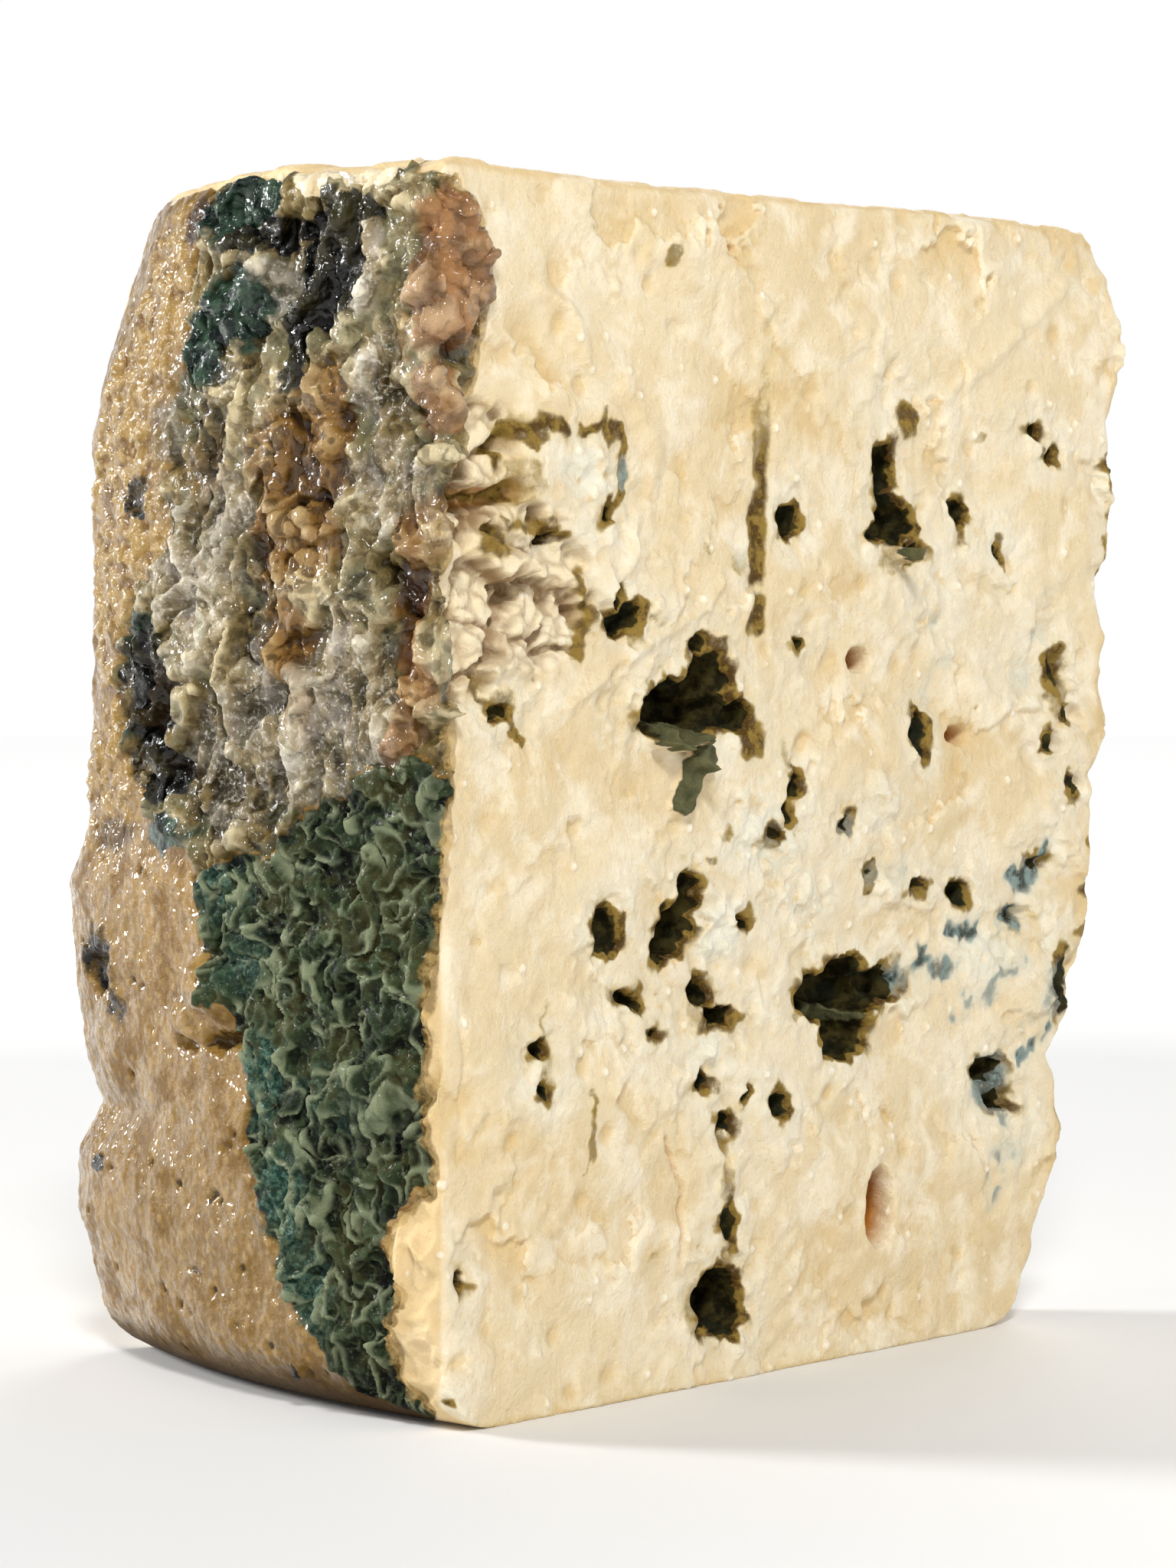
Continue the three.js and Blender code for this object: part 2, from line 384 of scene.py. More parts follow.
# Marks on the cut faces. Each hole is [along, height, wide, tall, deep], in mm.
FRONT_MOULD_HOLES = [
    (31.4, 56.8, 12.6, 5.6, 7), (34.2, 59.4, 6.5, 4.4, 4), (38.2, 56.2, 4.5, 4, 2.5),
    (32.8, 62.2, 2.2, 2.4, 1.2), (53.3, 31.8, 12.5, 6.2, 6), (53.8, 28.6, 8, 5, 6), (60, 32.4, 6, 3, 3),
    (60.2, 77.2, 4.2, 6.6, 5), (61.4, 73, 6.6, 4.6, 5), (64.2, 70.4, 3.6, 1.6, 2),
    (58.4, 72.2, 2.6, 2.6, 3), (35.6, 6.9, 6.8, 6.4, 6), (37.6, 5.2, 4, 3.4, 3), (36.8, 13.5, 2, 4, 1.6),
    (31.6, 40.6, 2.8, 5, 5), (30, 38.4, 4, 4.6, 6), (28.4, 36.6, 2.2, 1.8, 3),
    (21.1, 39.1, 4.2, 4.5, 2.2), (24.3, 33, 3, 1.5, 3), (26.8, 30, 1.9, 1.2, 1.5),
    (33.8, 32.8, 3, 2.6, 3), (35.8, 30.8, 4.6, 1.8, 4), (12.4, 29.3, 2, 1.3, 2.5),
    (12.7, 26.3, 2.1, 1.4, 2.5), (22.9, 64.3, 4.4, 2.4, 3), (21.5, 66, 2.4, 1.6, 1.5),
    (46.2, 73, 3.2, 3.2, 3.5), (47.6, 62.2, 1.8, 1.5, 2), (64.7, 54.4, 3.2, 4, 2.5),
    (45.9, 50.5, 2, 2, 2.5), (45.2, 48.2, 1.4, 2.6, 1.2), (43.6, 45.8, 2.6, 1.2, 1.4),
    (71.5, 40, 2.6, 1.4, 2.5), (39.4, 38.9, 1.9, 1.2, 2), (33.5, 25.3, 2.4, 1.7, 2.5),
    (39.2, 24.2, 1.4, 1.4, 1.5), (37, 21.8, 2.3, 1.8, 2.5), (44, 22.8, 2.8, 3, 3),
    (53.7, 46.8, 1.8, 1.9, 1), (57.2, 41.8, 2.2, 2.2, 0.9), (85.8, 80.2, 2.2, 2, 2),
    (82.9, 82.2, 1.8, 1.2, 1.5), (77.4, 70.9, 1.2, 2, 1.5), (85.8, 60.4, 2.6, 4, 1.2),
    (87.2, 56.2, 2.4, 2, 1.2), (84.4, 53.6, 2, 1.6, 1.5), (87.9, 49.6, 1.4, 2, 1.5),
    (83.2, 42.4, 3.4, 2.2, 1.2), (79.6, 37.6, 3.6, 1.6, 1.4), (76.2, 23.6, 5.2, 2.6, 2.4),
    (77.6, 20.8, 4.6, 2.4, 2.2), (87.9, 30.6, 4.6, 7.4, 2), (71.6, 74, 2.4, 2.8, 2.5),
    (64.6, 40.8, 2.4, 1.4, 1.5), (95.4, 78.8, 2.6, 3, 1.5), (95.6, 70.9, 2.4, 4.6, 1.6),
    (3.1, 11.9, 1, 1.5, 2), (0.9, 2.2, 1.6, 1, 0.5), (20.8, 72.9, 2.6, 2, 3), (14, 71, 1.6, 1.4, 2),
    (7.5, 56.8, 3, 1.6, 1.6),
]
FRONT_CLEAN_HOLES = [
    (58.8, 12.8, 5, 7.4, 7), (55.8, 61, 3.8, 2.4, 5), (71.3, 54.2, 4.2, 1.9, 3),
    (30, 88.6, 3.4, 1.6, 0.5), (54.4, 89.6, 2.6, 1, 0.4), (49.1, 83.7, 3, 1.4, 0.5),
    (7.6, 18.5, 2.4, 1.4, 0.6), (66.2, 95, 3.2, 1.4, 0.35), (40.2, 31.8, 1.8, 1.6, 0.6),
    (14.8, 44, 2, 3, 0.35), (8.5, 36, 3, 2, 0.3), (30.4, 49.4, 3.4, 1.8, 0.6), (68, 64.4, 2, 1.6, 0.6),
]
# Stains without a hole: [along, height, wide, tall, strength].
FRONT_STAINS = [
    (39.8, 54.8, 5, 5.4, 1), (34.8, 61.6, 6, 4.4, 0.95), (24.4, 64.8, 3.6, 3.4, 1),
    (29.2, 94.6, 3.4, 2.6, 0.8), (25, 95.6, 8, 4.6, 0.45), (33.8, 70, 1.8, 1.6, 0.7),
    (38.6, 69, 4, 2, 0.7), (7.8, 57.6, 6, 2.6, 0.8), (9.4, 54.6, 3.4, 2, 1), (11, 78.3, 4.6, 2.4, 0.9),
    (21.2, 79.6, 3.4, 2.6, 0.9), (18.6, 22, 2, 7, 0.8), (7.9, 24.6, 2.6, 2.4, 0.5),
    (26.4, 11.8, 2.4, 1.6, 0.6), (64.2, 82, 2.8, 6, 0.5), (61.5, 70.2, 6.5, 5, 0.7),
    (62.8, 82.4, 4.4, 4.4, 0.95), (86, 58.8, 5.2, 9.4, 0.75), (74.9, 81.3, 2.4, 1.6, 0.7),
    (36.5, 16.5, 2.6, 7.5, 0.7), (34.8, 6.8, 10, 8.5, 0.8), (13, 27.6, 3.2, 7, 0.65),
    (44, 22.8, 4.6, 5.4, 0.8), (33.4, 31.6, 6.4, 5.2, 0.7), (10, 75, 6, 5, 0.7),
    (36.6, 46.4, 2.4, 2, 0.7), (34.4, 44.4, 1.8, 1.6, 0.8), (66.5, 55.4, 4, 5, 0.5), (6.5, 70, 6, 3, 0.9),
]
FRONT_BLUES = [
    (82.7, 41.6, 5.4, 3.4, 0.9), (79.4, 37.6, 6, 3.2, 1), (69, 33.2, 7, 3, 0.9), (76, 30.4, 6, 3, 0.6),
    (79, 15.6, 6, 3.4, 0.6), (62.5, 33, 4, 3, 0.8), (53.8, 46.5, 3, 2.6, 0.6),
    (57.4, 41.8, 3.4, 2.6, 0.6), (23, 76.5, 1.8, 3, 0.8), (68.7, 64, 2.4, 3.4, 0.4),
    (39, 69.5, 2.4, 2, 0.6), (90, 28, 4, 6, 0.7), (76.5, 22, 8, 6, 0.9), (81, 41, 6, 4, 1),
    (86, 30, 6, 6, 0.8),
]
FRONT_WHITES = [
    (42, 46, 18, 9, 0.9), (36, 38, 14, 8, 0.9), (48, 40, 14, 9, 0.7), (18, 76, 10, 8, 0.9),
    (66, 66, 16, 12, 0.5), (76, 34, 16, 7, 0.8), (40, 70, 6, 8, 0.5), (34, 28, 12, 9, 0.7),
    (80, 60, 14, 14, 0.4), (28, 62, 8, 5, 0.5), (60, 84, 14, 10, 0.35), (80, 17, 9, 8, 0.5),
    (26, 44, 8, 5, 0.4), (58, 48, 14, 8, 0.6),
]
BACK_MOULD_HOLES = [
    (30, 66, 12, 6.5, 6), (34, 62, 6, 5, 4), (52, 45, 9.4, 8.8, 6), (56, 41, 7, 4, 4),
    (24, 28, 6.4, 6.2, 5), (68, 46, 4, 2.2, 2), (42, 58, 3, 4.6, 2.5), (78, 72, 4.4, 2.4, 2),
    (46, 22, 5, 2.6, 2.5), (62, 80, 2.4, 4.4, 2), (66, 70, 6.4, 5.2, 5), (44, 82, 3.6, 5.6, 4),
    (70, 24, 5.4, 4, 4), (40, 16, 3, 4.4, 3), (16, 48, 3.6, 3, 3), (60, 58, 2.6, 3.6, 2.5),
    (36, 52, 2.2, 2.6, 2), (76, 50, 3, 2.4, 2), (80, 84, 2.6, 3.4, 2), (22, 84, 2.8, 2.2, 2),
    (50, 30, 2.2, 2, 2), (12, 18, 2.4, 2, 2), (84, 64, 2, 3, 1.5), (62, 12, 2.2, 1.8, 2),
    (58, 92, 2, 1.6, 1.2), (46, 66, 1.8, 1.8, 2), (28, 44, 1.8, 2.4, 1.5), (72, 38, 2, 2.8, 2),
    (34, 36, 1.6, 1.6, 1.5), (54, 74, 1.6, 2.2, 2),
]
BACK_CLEAN_HOLES = [
    (38, 74, 3, 2.4, 3), (64, 32, 2.6, 3.6, 3), (20, 60, 2.4, 1.4, 0.5), (48, 56, 3, 1.6, 0.5),
    (74, 74, 2.4, 1.6, 0.5), (30, 10, 3, 1.6, 0.5), (14, 36, 2.4, 1.6, 0.4), (66, 86, 3, 1.4, 0.4),
    (42, 40, 2, 2, 0.6),
]
BACK_STAINS = [
    (31, 65, 10, 9, 0.9), (53, 44, 10, 11, 0.9), (24, 28, 7, 8, 0.7), (66, 70, 8, 7, 0.8),
    (44, 83, 4, 9, 0.7), (70, 24, 7, 6, 0.7), (40, 18, 3, 9, 0.6), (82, 60, 5, 9, 0.6),
    (16, 48, 5, 5, 0.6), (10, 88, 6, 4, 0.6),
]
BACK_BLUES = [
    (60, 44, 7, 4, 0.8), (38, 64, 6, 3, 0.8), (74, 66, 5, 4, 0.6), (28, 24, 4, 3, 0.6),
    (78, 30, 5, 4, 0.6),
]
BACK_WHITES = [
    (40, 60, 18, 10, 0.9), (60, 50, 14, 10, 0.8), (30, 74, 12, 8, 0.7), (70, 60, 16, 12, 0.6),
    (30, 34, 14, 10, 0.6), (56, 24, 16, 10, 0.5), (50, 84, 14, 10, 0.5),
]
FACE_MARKS = {
    "front": (FRONT_MOULD_HOLES, FRONT_CLEAN_HOLES, FRONT_STAINS, FRONT_BLUES, FRONT_WHITES),
    "back": (BACK_MOULD_HOLES, BACK_CLEAN_HOLES, BACK_STAINS, BACK_BLUES, BACK_WHITES),
}


def ragged(a, b, seed, amount=1.0):
    """Flat coordinates pushed about by noise, so that outlines drawn in them are ragged."""
    flat = sheet(a, b)
    push = []
    for turn in (0, 20):
        push.append(
            0.7 * waves(flat, 4.0, seed + turn)
            + 0.6 * waves(flat, 1.9, seed + turn + 1)
            + 0.32 * waves(flat, 1.0, seed + turn + 2)
            + 0.14 * waves(flat, 0.55, seed + turn + 3)
        )
    return a + amount * push[0], b + amount * push[1]


def reach_of(a, b, mark):
    """Distance from a mark's middle in units of its own half sizes: 1 on its outline."""
    return np.hypot((a - mark[0]) / (mark[2] / 2), (b - mark[1]) / (mark[3] / 2))


def patches(a, b, marks, low=1.15, high=0.55):
    """The strongest of a list of soft patches at each point."""
    strongest = np.zeros_like(a)
    for mark in marks:
        strongest = np.maximum(strongest, mark[4] * step(reach_of(a, b, mark), low, high))
    return strongest


def carve_holes(a, b, marks, wall=1.2):
    """Depth of a list of holes at each point, with walls wall mm wide and a hollow floor,
    and how close each point is to a hole's outline, in mm."""
    depth = np.zeros_like(a)
    outside = np.full_like(a, 1e3)
    for mark in marks:
        reach = reach_of(a, b, mark)
        past_edge = (reach - 1) * min(mark[2], mark[3]) / 2
        width = min(wall, 0.28 * min(mark[2], mark[3]))
        hole = mark[4] * step(past_edge, 0.1, -width) * (1 - 0.3 * np.clip(reach, 0, 1) ** 2)
        depth = np.maximum(depth, hole)
        outside = np.minimum(outside, past_edge)
    return depth, outside


def line_distance(a, b, route):
    """Distance from a route of straight stretches, and how far along it, 0..1."""
    nearest = np.full_like(a, 1e3)
    along = np.zeros_like(a)
    stretches = len(route) - 1
    for number, (start, end) in enumerate(zip(route, route[1:])):
        run_a, run_b = end[0] - start[0], end[1] - start[1]
        t = np.clip(((a - start[0]) * run_a + (b - start[1]) * run_b) / (run_a ** 2 + run_b ** 2), 0, 1)
        gap = np.hypot(a - start[0] - t * run_a, b - start[1] - t * run_b)
        along = np.where(gap < nearest, (number + t) / stretches, along)
        nearest = np.minimum(nearest, gap)
    return nearest, along


# The maker's needle channels and the cracks, as routes on each face: [route, half width, depth].
NEEDLE_ROUTES = {
    "front": [(((43.2, 92), (42.6, 86), (42.0, 80), (41.6, 74), (41.0, 66.5), (40.6, 62)), 0.8, 0.45)],
    "back": [(((58, 95), (57.4, 84), (57, 76)), 0.5, 1.2), (((26, 60), (25.2, 46), (25, 36)), 0.5, 1.2)],
}
# Olive smears where mould ran along a crack, as [route, half width, strength].
SMEAR_ROUTES = {
    "front": [
        (((7, 76.5), (9, 79), (12, 79.6), (15, 78.6)), 0.9, 1.0),
        (((17, 79.4), (20, 80.2), (22.6, 79), (22.8, 75), (21.4, 72.5)), 0.7, 1.0),
        (((17.6, 68), (18.6, 64.5), (17.4, 61.5)), 0.7, 0.9),
        (((4.5, 59.0), (7.5, 57), (10, 54)), 0.6, 0.9),
        (((36.4, 21), (36.6, 15), (35.8, 10)), 0.6, 0.8),
        (((18.8, 26), (18.6, 21), (17.6, 18.6)), 0.35, 0.8),
        (((12.9, 33), (12.8, 27)), 0.4, 0.7),
        (((45, 53), (45.2, 48), (42.5, 45)), 0.7, 0.7),
        (((8, 71.8), (11, 71.4), (13.6, 72)), 0.6, 0.9),
        (((-1, 73.0), (5.0, 73.5), (9.6, 74.4)), 0.7, 1.0),
    ],
    "back": [
        (((30, 70), (28, 78), (29, 84)), 0.6, 0.8), (((52, 40), (50, 33)), 0.6, 0.8),
        (((66, 74), (70, 80)), 0.5, 0.8),
    ],
}
BLUE_ROUTES = {
    "front": [
        (((62, 33), (68, 35.5), (75, 37)), 1.1, 1.0), (((75, 36.5), (80, 39), (84.5, 43.5)), 1.1, 1.0),
        (((71, 29.5), (77, 31.5), (81, 34)), 0.8, 0.8),
        (((74, 22.5), (79, 24), (84, 26.5), (88, 31)), 1.2, 1.0),
        (((76, 13), (78.5, 17), (79, 21)), 1.2, 0.8), (((66, 57), (68.5, 62), (69.5, 66)), 0.6, 0.6),
        (((80, 58), (83.5, 63), (84.5, 67)), 0.8, 0.6), (((56, 44), (60, 42), (63, 43)), 0.7, 0.6),
        (((41, 51), (44, 47), (42, 43)), 0.6, 0.5),
    ],
    "back": [
        (((58, 43), (64, 45), (70, 44)), 1.0, 0.9), (((72, 64), (77, 67)), 0.9, 0.8),
        (((24, 26), (29, 23)), 0.9, 0.8),
    ],
}
CRACK_ROUTES = {
    "front": [
        (((28.7, 21.1), (30.9, 16.7), (30.2, 11.3)), 0.16, 0.8),
        (((52.1, 58.8), (52.3, 56), (52.4, 53.4)), 0.12, 0.5),
        (((-1, 73.0), (5.0, 73.5), (9.6, 74.4)), 0.5, 2.6),
        (((30.9, 21), (30.0, 25), (31.5, 28)), 0.1, 0.4),
        (((36.2, 21), (36.8, 17)), 0.2, 0.9),
        (((2.5, 33), (3.0, 28), (2.6, 22)), 0.12, 0.4),
        (((86, 8), (90, 9), (93, 12)), 0.2, 0.5),
    ],
    "back": [
        (((18, 22), (20, 14), (19, 8)), 0.15, 0.8),
        (((60, 86), (63, 80), (62, 74)), 0.12, 0.6),
        (((6, 62), (11, 60)), 0.35, 1.5),
    ],
}
# Long low ridges and the edges where the cheese broke, as [route, half width, height].
RIDGE_ROUTES = {
    "front": [
        (((92, 98), (79, 90.5), (67, 83.5), (60, 80)), 0.9, 0.4),
        (((15, 89), (22, 85), (27, 78), (26, 72)), 1.2, 0.4),
        (((16, 57), (24, 61.5), (33, 65), (36, 67.5)), 0.5, 0.45),
        (((20.5, 66), (23.8, 69.5), (24.6, 73)), 0.6, 0.45),
        (((12, 90.5), (16, 89), (18, 85)), 0.7, 0.5),
        (((46, 20), (54, 19.2), (66, 18.8), (76, 18)), 0.35, 0.22),
        (((28, 63), (24, 57), (22, 50)), 0.9, 0.3),
        (((70, 62), (80, 55), (90, 52)), 1.0, 0.3),
    ],
    "back": [(((20, 90), (34, 82), (50, 80)), 1.0, 0.35), (((60, 20), (74, 28), (84, 26)), 0.8, 0.3)],
}
BREAK_ROUTES = {
    "front": [
        ((30, 20.2), (37, 19.5), (53, 18.9), (75, 17.8), (82, 19)),
        ((7, 84), (12, 83), (22, 81.5), (25, 76)),
    ],
    "back": [((16, 70), (34, 68), (52, 71), (66, 69))],
}
TORN_CURD = {
    "front": [
        (8.5, 64.5, 20, 11, 1), (15, 66, 9, 10, 1), (5, 77, 10, 10, 1), (8, 71.5, 16, 5, 1),
        (3.5, 60, 8, 5, 0.9),
    ],
    "back": [(7, 40, 13, 16, 1), (10, 48, 9, 8, 1)],
}
MOULD_FLAPS = {
    "front": [
        (29.6, 54.6, 7.5, 1.8, 3.4), (30.6, 50.6, 3.6, 5.8, 1.1), (32.2, 52.8, 4.2, 2.4, 1.8),
        (55.0, 29.6, 5.0, 2.2, 1.5), (61.2, 70.2, 1.6, 1.8, 3),
    ],
    "back": [(32, 61, 4.0, 3.0, 2.0), (54, 41.5, 5.0, 2.5, 2.0)],
}


def cut_face(at, face):
    """Relief and marks of a cut face: height in mm outwards, and 0..1 for each kind of mark."""
    along, z = at["along_" + face], at["z"]
    seed = 11 if face == "front" else 61
    flat = sheet(along, z)
    a, b = ragged(along, z, seed)
    near_a, near_b = along + 0.3 * (a - along), z + 0.3 * (b - z)
    mould_holes, clean_holes, stains, blues, whites = FACE_MARKS[face]
    mould_depth, past_mould = carve_holes(a, b, mould_holes)
    clean_depth, _ = carve_holes(near_a, near_b, clean_holes)
    fringe = step(rough(flat, 2.6, 3, seed + 3), -0.3, 0.45)
    stain = np.maximum(patches(a, b, stains), step(past_mould, 0.5 + 1.5 * fringe, -0.1))
    white = np.maximum(patches(a, b, whites, 1.3, 0.2), 0.45 * step(past_mould, 4.0, 0.5))

    torn = patches(a, b, TORN_CURD[face], 1.04, 0.8)
    warp = np.stack([waves(flat, 3.0, seed + 9), waves(flat, 3.0, seed + 10)], axis=1)
    swirl = warp + 0.5 * np.stack([waves(flat, 1.1, seed + 5), waves(flat, 1.1, seed + 6)], axis=1)
    near, second, number, tilt = lumps(flat + 1.2 * swirl, (6.2, 4.4), seed + 7)
    small_near, small_second, small_number, small_tilt = lumps(flat + 0.8 * swirl, (2.3, 1.9), seed + 8)
    gaps = step(second - near, 0.02, 0.2)
    small_gaps = step(small_second - small_near, 0.0, 0.35)
    curd = -2.8 + 1.7 * gaps + 2.2 * (number - 0.3) + 1.6 * tilt
    curd += gaps * (0.3 * small_gaps + 0.6 * (small_number - 0.4)) + 0.5 * rough(flat, 2.2, 3, seed + 12)

    broad = 0.7 * rough(flat, (26, 14), 3, seed + 20)
    plate_near, plate_second, plate_number, plate_tilt = lumps(flat + 2.4 * swirl, (12, 8), seed + 22)
    flake_near, flake_second, flake_number, flake_tilt = lumps(flat + 1.3 * swirl, (5.2, 3.8), seed + 23)
    broken = step(rough(flat, 15, 2, seed + 24), -0.35, 0.4)
    flaky = np.maximum(step(rough(flat, 9, 2, seed + 26), 0.05, 0.5), 0.9 * white)
    plates = broken * (0.7 * plate_tilt + 0.5 * (plate_number - 0.5))
    plates -= 0.2 * broken * step(plate_second - plate_near, 0.07, 0.0)
    flakes = flaky * (0.6 * flake_tilt + 0.36 * (flake_number - 0.5))
    flakes -= 0.14 * flaky * step(flake_second - flake_near, 0.12, 0.0)
    slant = sheet(along * 0.8 + z * 0.6, z * 0.8 - along * 0.6)
    drags = 0.2 * rough(slant, (9, 1.5), 2, seed + 28) * step(rough(flat, 12, 2, seed + 30), -0.2, 0.4)
    dent_near, _, dent_number, _ = lumps(flat + 0.6 * warp, 3.6, seed + 31)
    dents = -0.4 * step(dent_near, 0.4, 0.05) * step(dent_number, 0.75, 0.95)
    crumbly = white * (0.5 * rough(flat, 1.9, 3, seed + 33) + 0.7 * small_tilt + 0.5 * (small_number - 0.5))
    worn = plates + flakes + drags + dents + crumbly + 0.16 * rough(flat, 4.2, 4, seed + 36)
    height = broad + worn
    for route, half, rise in RIDGE_ROUTES[face]:
        gap, _ = line_distance(near_a, near_b, route)
        height += rise * step(gap, half * 1.6, 0)
    for route in BREAK_ROUTES[face]:
        side = near_b - along_route(near_a, route)
        inside = step(near_a, route[0][0], route[0][0] + 6) * step(near_a, route[-1][0], route[-1][0] - 6)
        height += 0.45 * inside * step(side, 0.15, -0.15) * step(side, -14, 0)
    height = height * (1 - torn) + curd * torn

    cracks = np.zeros_like(a)
    for route, half, depth in CRACK_ROUTES[face]:
        gap, _ = line_distance(near_a, near_b, route)
        cracks = np.maximum(cracks, depth * step(gap, half * 2.4, half * 0.4))
    needle = np.zeros_like(a)
    for route, half, depth in NEEDLE_ROUTES[face]:
        gap, run = line_distance(along + 0.3 * (a - along), z, route)
        strength = step(run, 0.0, 0.65) * step(rough(flat, 3, 2, seed + 37), -1.2, 0.1)
        needle = np.maximum(needle, depth * strength * step(gap, half * 2.2, 0))
        streak = (0.35 + 0.75 * strength) * step(gap, half * 2.6, half * 0.8) * step(run, 1.0, 0.93)
        stain = np.maximum(stain, streak)
    for route, half, strength in SMEAR_ROUTES[face]:
        gap, _ = line_distance(a, b, route)
        stain = np.maximum(stain, strength * step(gap, half * 2.0, half * 0.2))
    blue = patches(a, b, blues, 1.2, 0.4)
    broken_up = step(rough(flat, 3.4, 3, seed + 40), -0.35, 0.25)
    for route, half, strength in BLUE_ROUTES[face]:
        gap, _ = line_distance(a + 1.2 * warp[:, 0], b + 1.2 * warp[:, 1], route)
        blue = np.maximum(blue, strength * broken_up * step(gap, half * 2.8, half * 0.3))
    height -= cracks + needle + clean_depth + mould_depth + 0.3 * blue
    flap = np.zeros_like(a)
    for mark in MOULD_FLAPS[face]:
        here = step(reach_of(a, b, mark), 1.08, 0.8)
        flap = np.maximum(flap, here)
        height += here * (mark[4] + 0.7 * rough(flat, (1.6, 4), 2, seed + 39))
    return {
        "height": height,
        "mould": step(mould_depth, 0.2, 1.2),
        "stain": stain,
        "blue": blue,
        "white": white,
        # deep: the floors of the clean holes and the cracks, where the finish paints shade.
        "deep": np.maximum(step(clean_depth, 0.4, 3.0), 0.8 * step(cracks, 0.3, 1.5)),
        "torn": torn,
        "flap": flap,
        # gaps: between the torn curd's lumps, where the finish paints shade.
        "gaps": torn * (1 - gaps * (0.5 + 0.5 * small_gaps)),
        # worn: the paste's relief, which the finish uses for painted shade in its low parts and painted
        # highlight on its high parts.
        "worn": 0.5 + 0.7 * worn * (1 - torn),
    }


def along_route(value, route):
    """The second number of a route's points, read off at a value of the first."""
    return np.interp(value, [point[0] for point in route], [point[1] for point in route])


# The rind. Its left and right borders and its zones are in mm round from the front cut, and height.
# Where the skin curls over on to the front cut, round is less than nothing.
SKIN_BORDER = (
    (0, -1), (1.2, -3.2), (4.5, -5.2), (8.7, -5.2), (9.6, -3.6), (11, -4), (13, -6), (16, -5.4),
    (18.2, -2.5), (19.8, -0.8), (27, -1.6), (35, -1.3), (43, 0.5), (52.6, 1.4), (58.6, 1.6), (67, 0.4),
    (76.5, 2.3), (82.5, 4.1), (88.6, 5.5), (95, 5), (97, 4.2), (98.5, 0), (99.5, -3.9),
)
GREEN_RIGHT = (
    (-2, 0), (0.3, 4), (2.5, 11), (6.5, 15), (12, 19.5), (17, 21.5), (22, 23.5), (27, 23.5), (31, 25.5),
    (38, 30), (42, 31), (46, 29), (50, 26), (54, 24),
)
GREEN_TOP = (
    (-5, 50), (3, 53.5), (10, 51.5), (14, 49.5), (18, 47.5), (21, 44.5), (25, 46), (30, 43), (34, 40),
)
GROWN_RIGHT = (
    (40, 26), (44, 31), (48, 40), (52, 46), (60, 49), (66, 44), (70, 37), (76, 37), (84, 36), (90, 35),
    (95, 37), (101, 38),
)
# Dark skin is partly dark mould and partly painted shade, laid over the skin's hollows.
DARK_SKIN = [
    (12.5, 92, 9, 12, 1), (16.6, 89, 4, 15, 1), (11, 96.6, 12, 3, 0.9), (22, 95.4, 18, 3, 0.8),
    (28, 98.5, 18, 3, 0.5), (40, 58, 13, 13, 1), (37, 51.5, 9, 5, 0.9), (45, 60, 7, 4, 0.8),
    (28, 84.5, 6, 3, 0.6), (25, 88, 8, 3, 0.5), (49, 35, 9, 7, 0.75), (46, 31, 5, 4, 0.7),
    (43, 74.5, 8, 5, 0.7), (17.8, 3.2, 1.6, 1.4, 0.9), (49, 17.8, 4, 2.2, 0.8), (24, 62, 6, 2, 0.5),
    (9, 66, 4, 5, 0.6), (19, 78, 4, 5, 0.5), (5.5, 84, 2, 6, 0.5), (3, 62, 2, 6, 0.5),
]
TEAL_SKIN = [
    (26, 90, 13, 9, 1), (31, 87, 6, 9, 1), (36, 46.3, 10, 4, 1), (41, 63.5, 8, 4, 0.9),
    (28, 98.4, 20, 7, 1), (44, 56, 6, 8, 0.7), (31, 103, 12, 2.4, 0.8), (21.5, 27, 6, 10, 1),
    (18.5, 17, 7, 10, 1), (15, 10, 6, 8, 0.8), (27, 42, 8, 6, 0.7), (24, 36, 8, 6, 0.5),
    (33, 79.5, 8, 3, 0.5), (13, 26, 8, 6, 0.4),
]
GREY_SKIN = [
    (8, 92, 5, 9, 1), (6, 83, 6, 9, 1), (5, 74.5, 9, 8, 0.9), (9, 58, 11, 12, 1), (19, 57, 16, 16, 0.9),
    (11.5, 62, 6, 9, 0.9), (31, 67, 15, 16, 0.9), (26, 54, 16, 12, 0.9), (14, 51, 12, 5, 0.7),
    (27, 74, 10, 7, 0.8), (27, 48, 10, 5, 0.8), (21, 91, 6, 6, 0.7), (34, 85, 8, 6, 0.5),
    (37, 80, 6, 6, 0.6),
]
AMBER_SKIN = [
    (16, 74, 15, 19, 1), (12, 80, 6, 13, 0.9), (18, 63, 10, 9, 0.8), (3, 64, 5, 22, 0.9),
    (13.5, 90, 5, 7, 0.8), (38, 98, 5, 6, 0.8), (20.5, 70, 4, 8, 1), (48, 46, 12, 4, 0.5),
    (30, 77, 14, 6, 0.5), (16, 57, 5, 6, 0.4), (3.2, 86, 2.5, 6, 0.6),
]
PINK_SKIN = [
    (-1.5, 91, 9, 15, 1), (0.5, 81, 5, 8, 0.7), (0.5, 71, 6, 7, 0.5), (2.5, 60, 5, 13, 0.55),
    (3.5, 14, 8, 9, 0.6), (4.5, 54, 4, 4, 0.7), (6.5, 80, 2, 8, 0.3),
]
GOLDEN_SKIN = [(46, 72, 20, 40, 1), (43, 92, 15, 16, 1), (50, 50, 14, 12, 0.9), (40, 82, 8, 12, 0.9)]
BARE_SKIN = [(12, 100.6, 17, 5, 1), (48, 102.5, 12, 3, 0.7)]
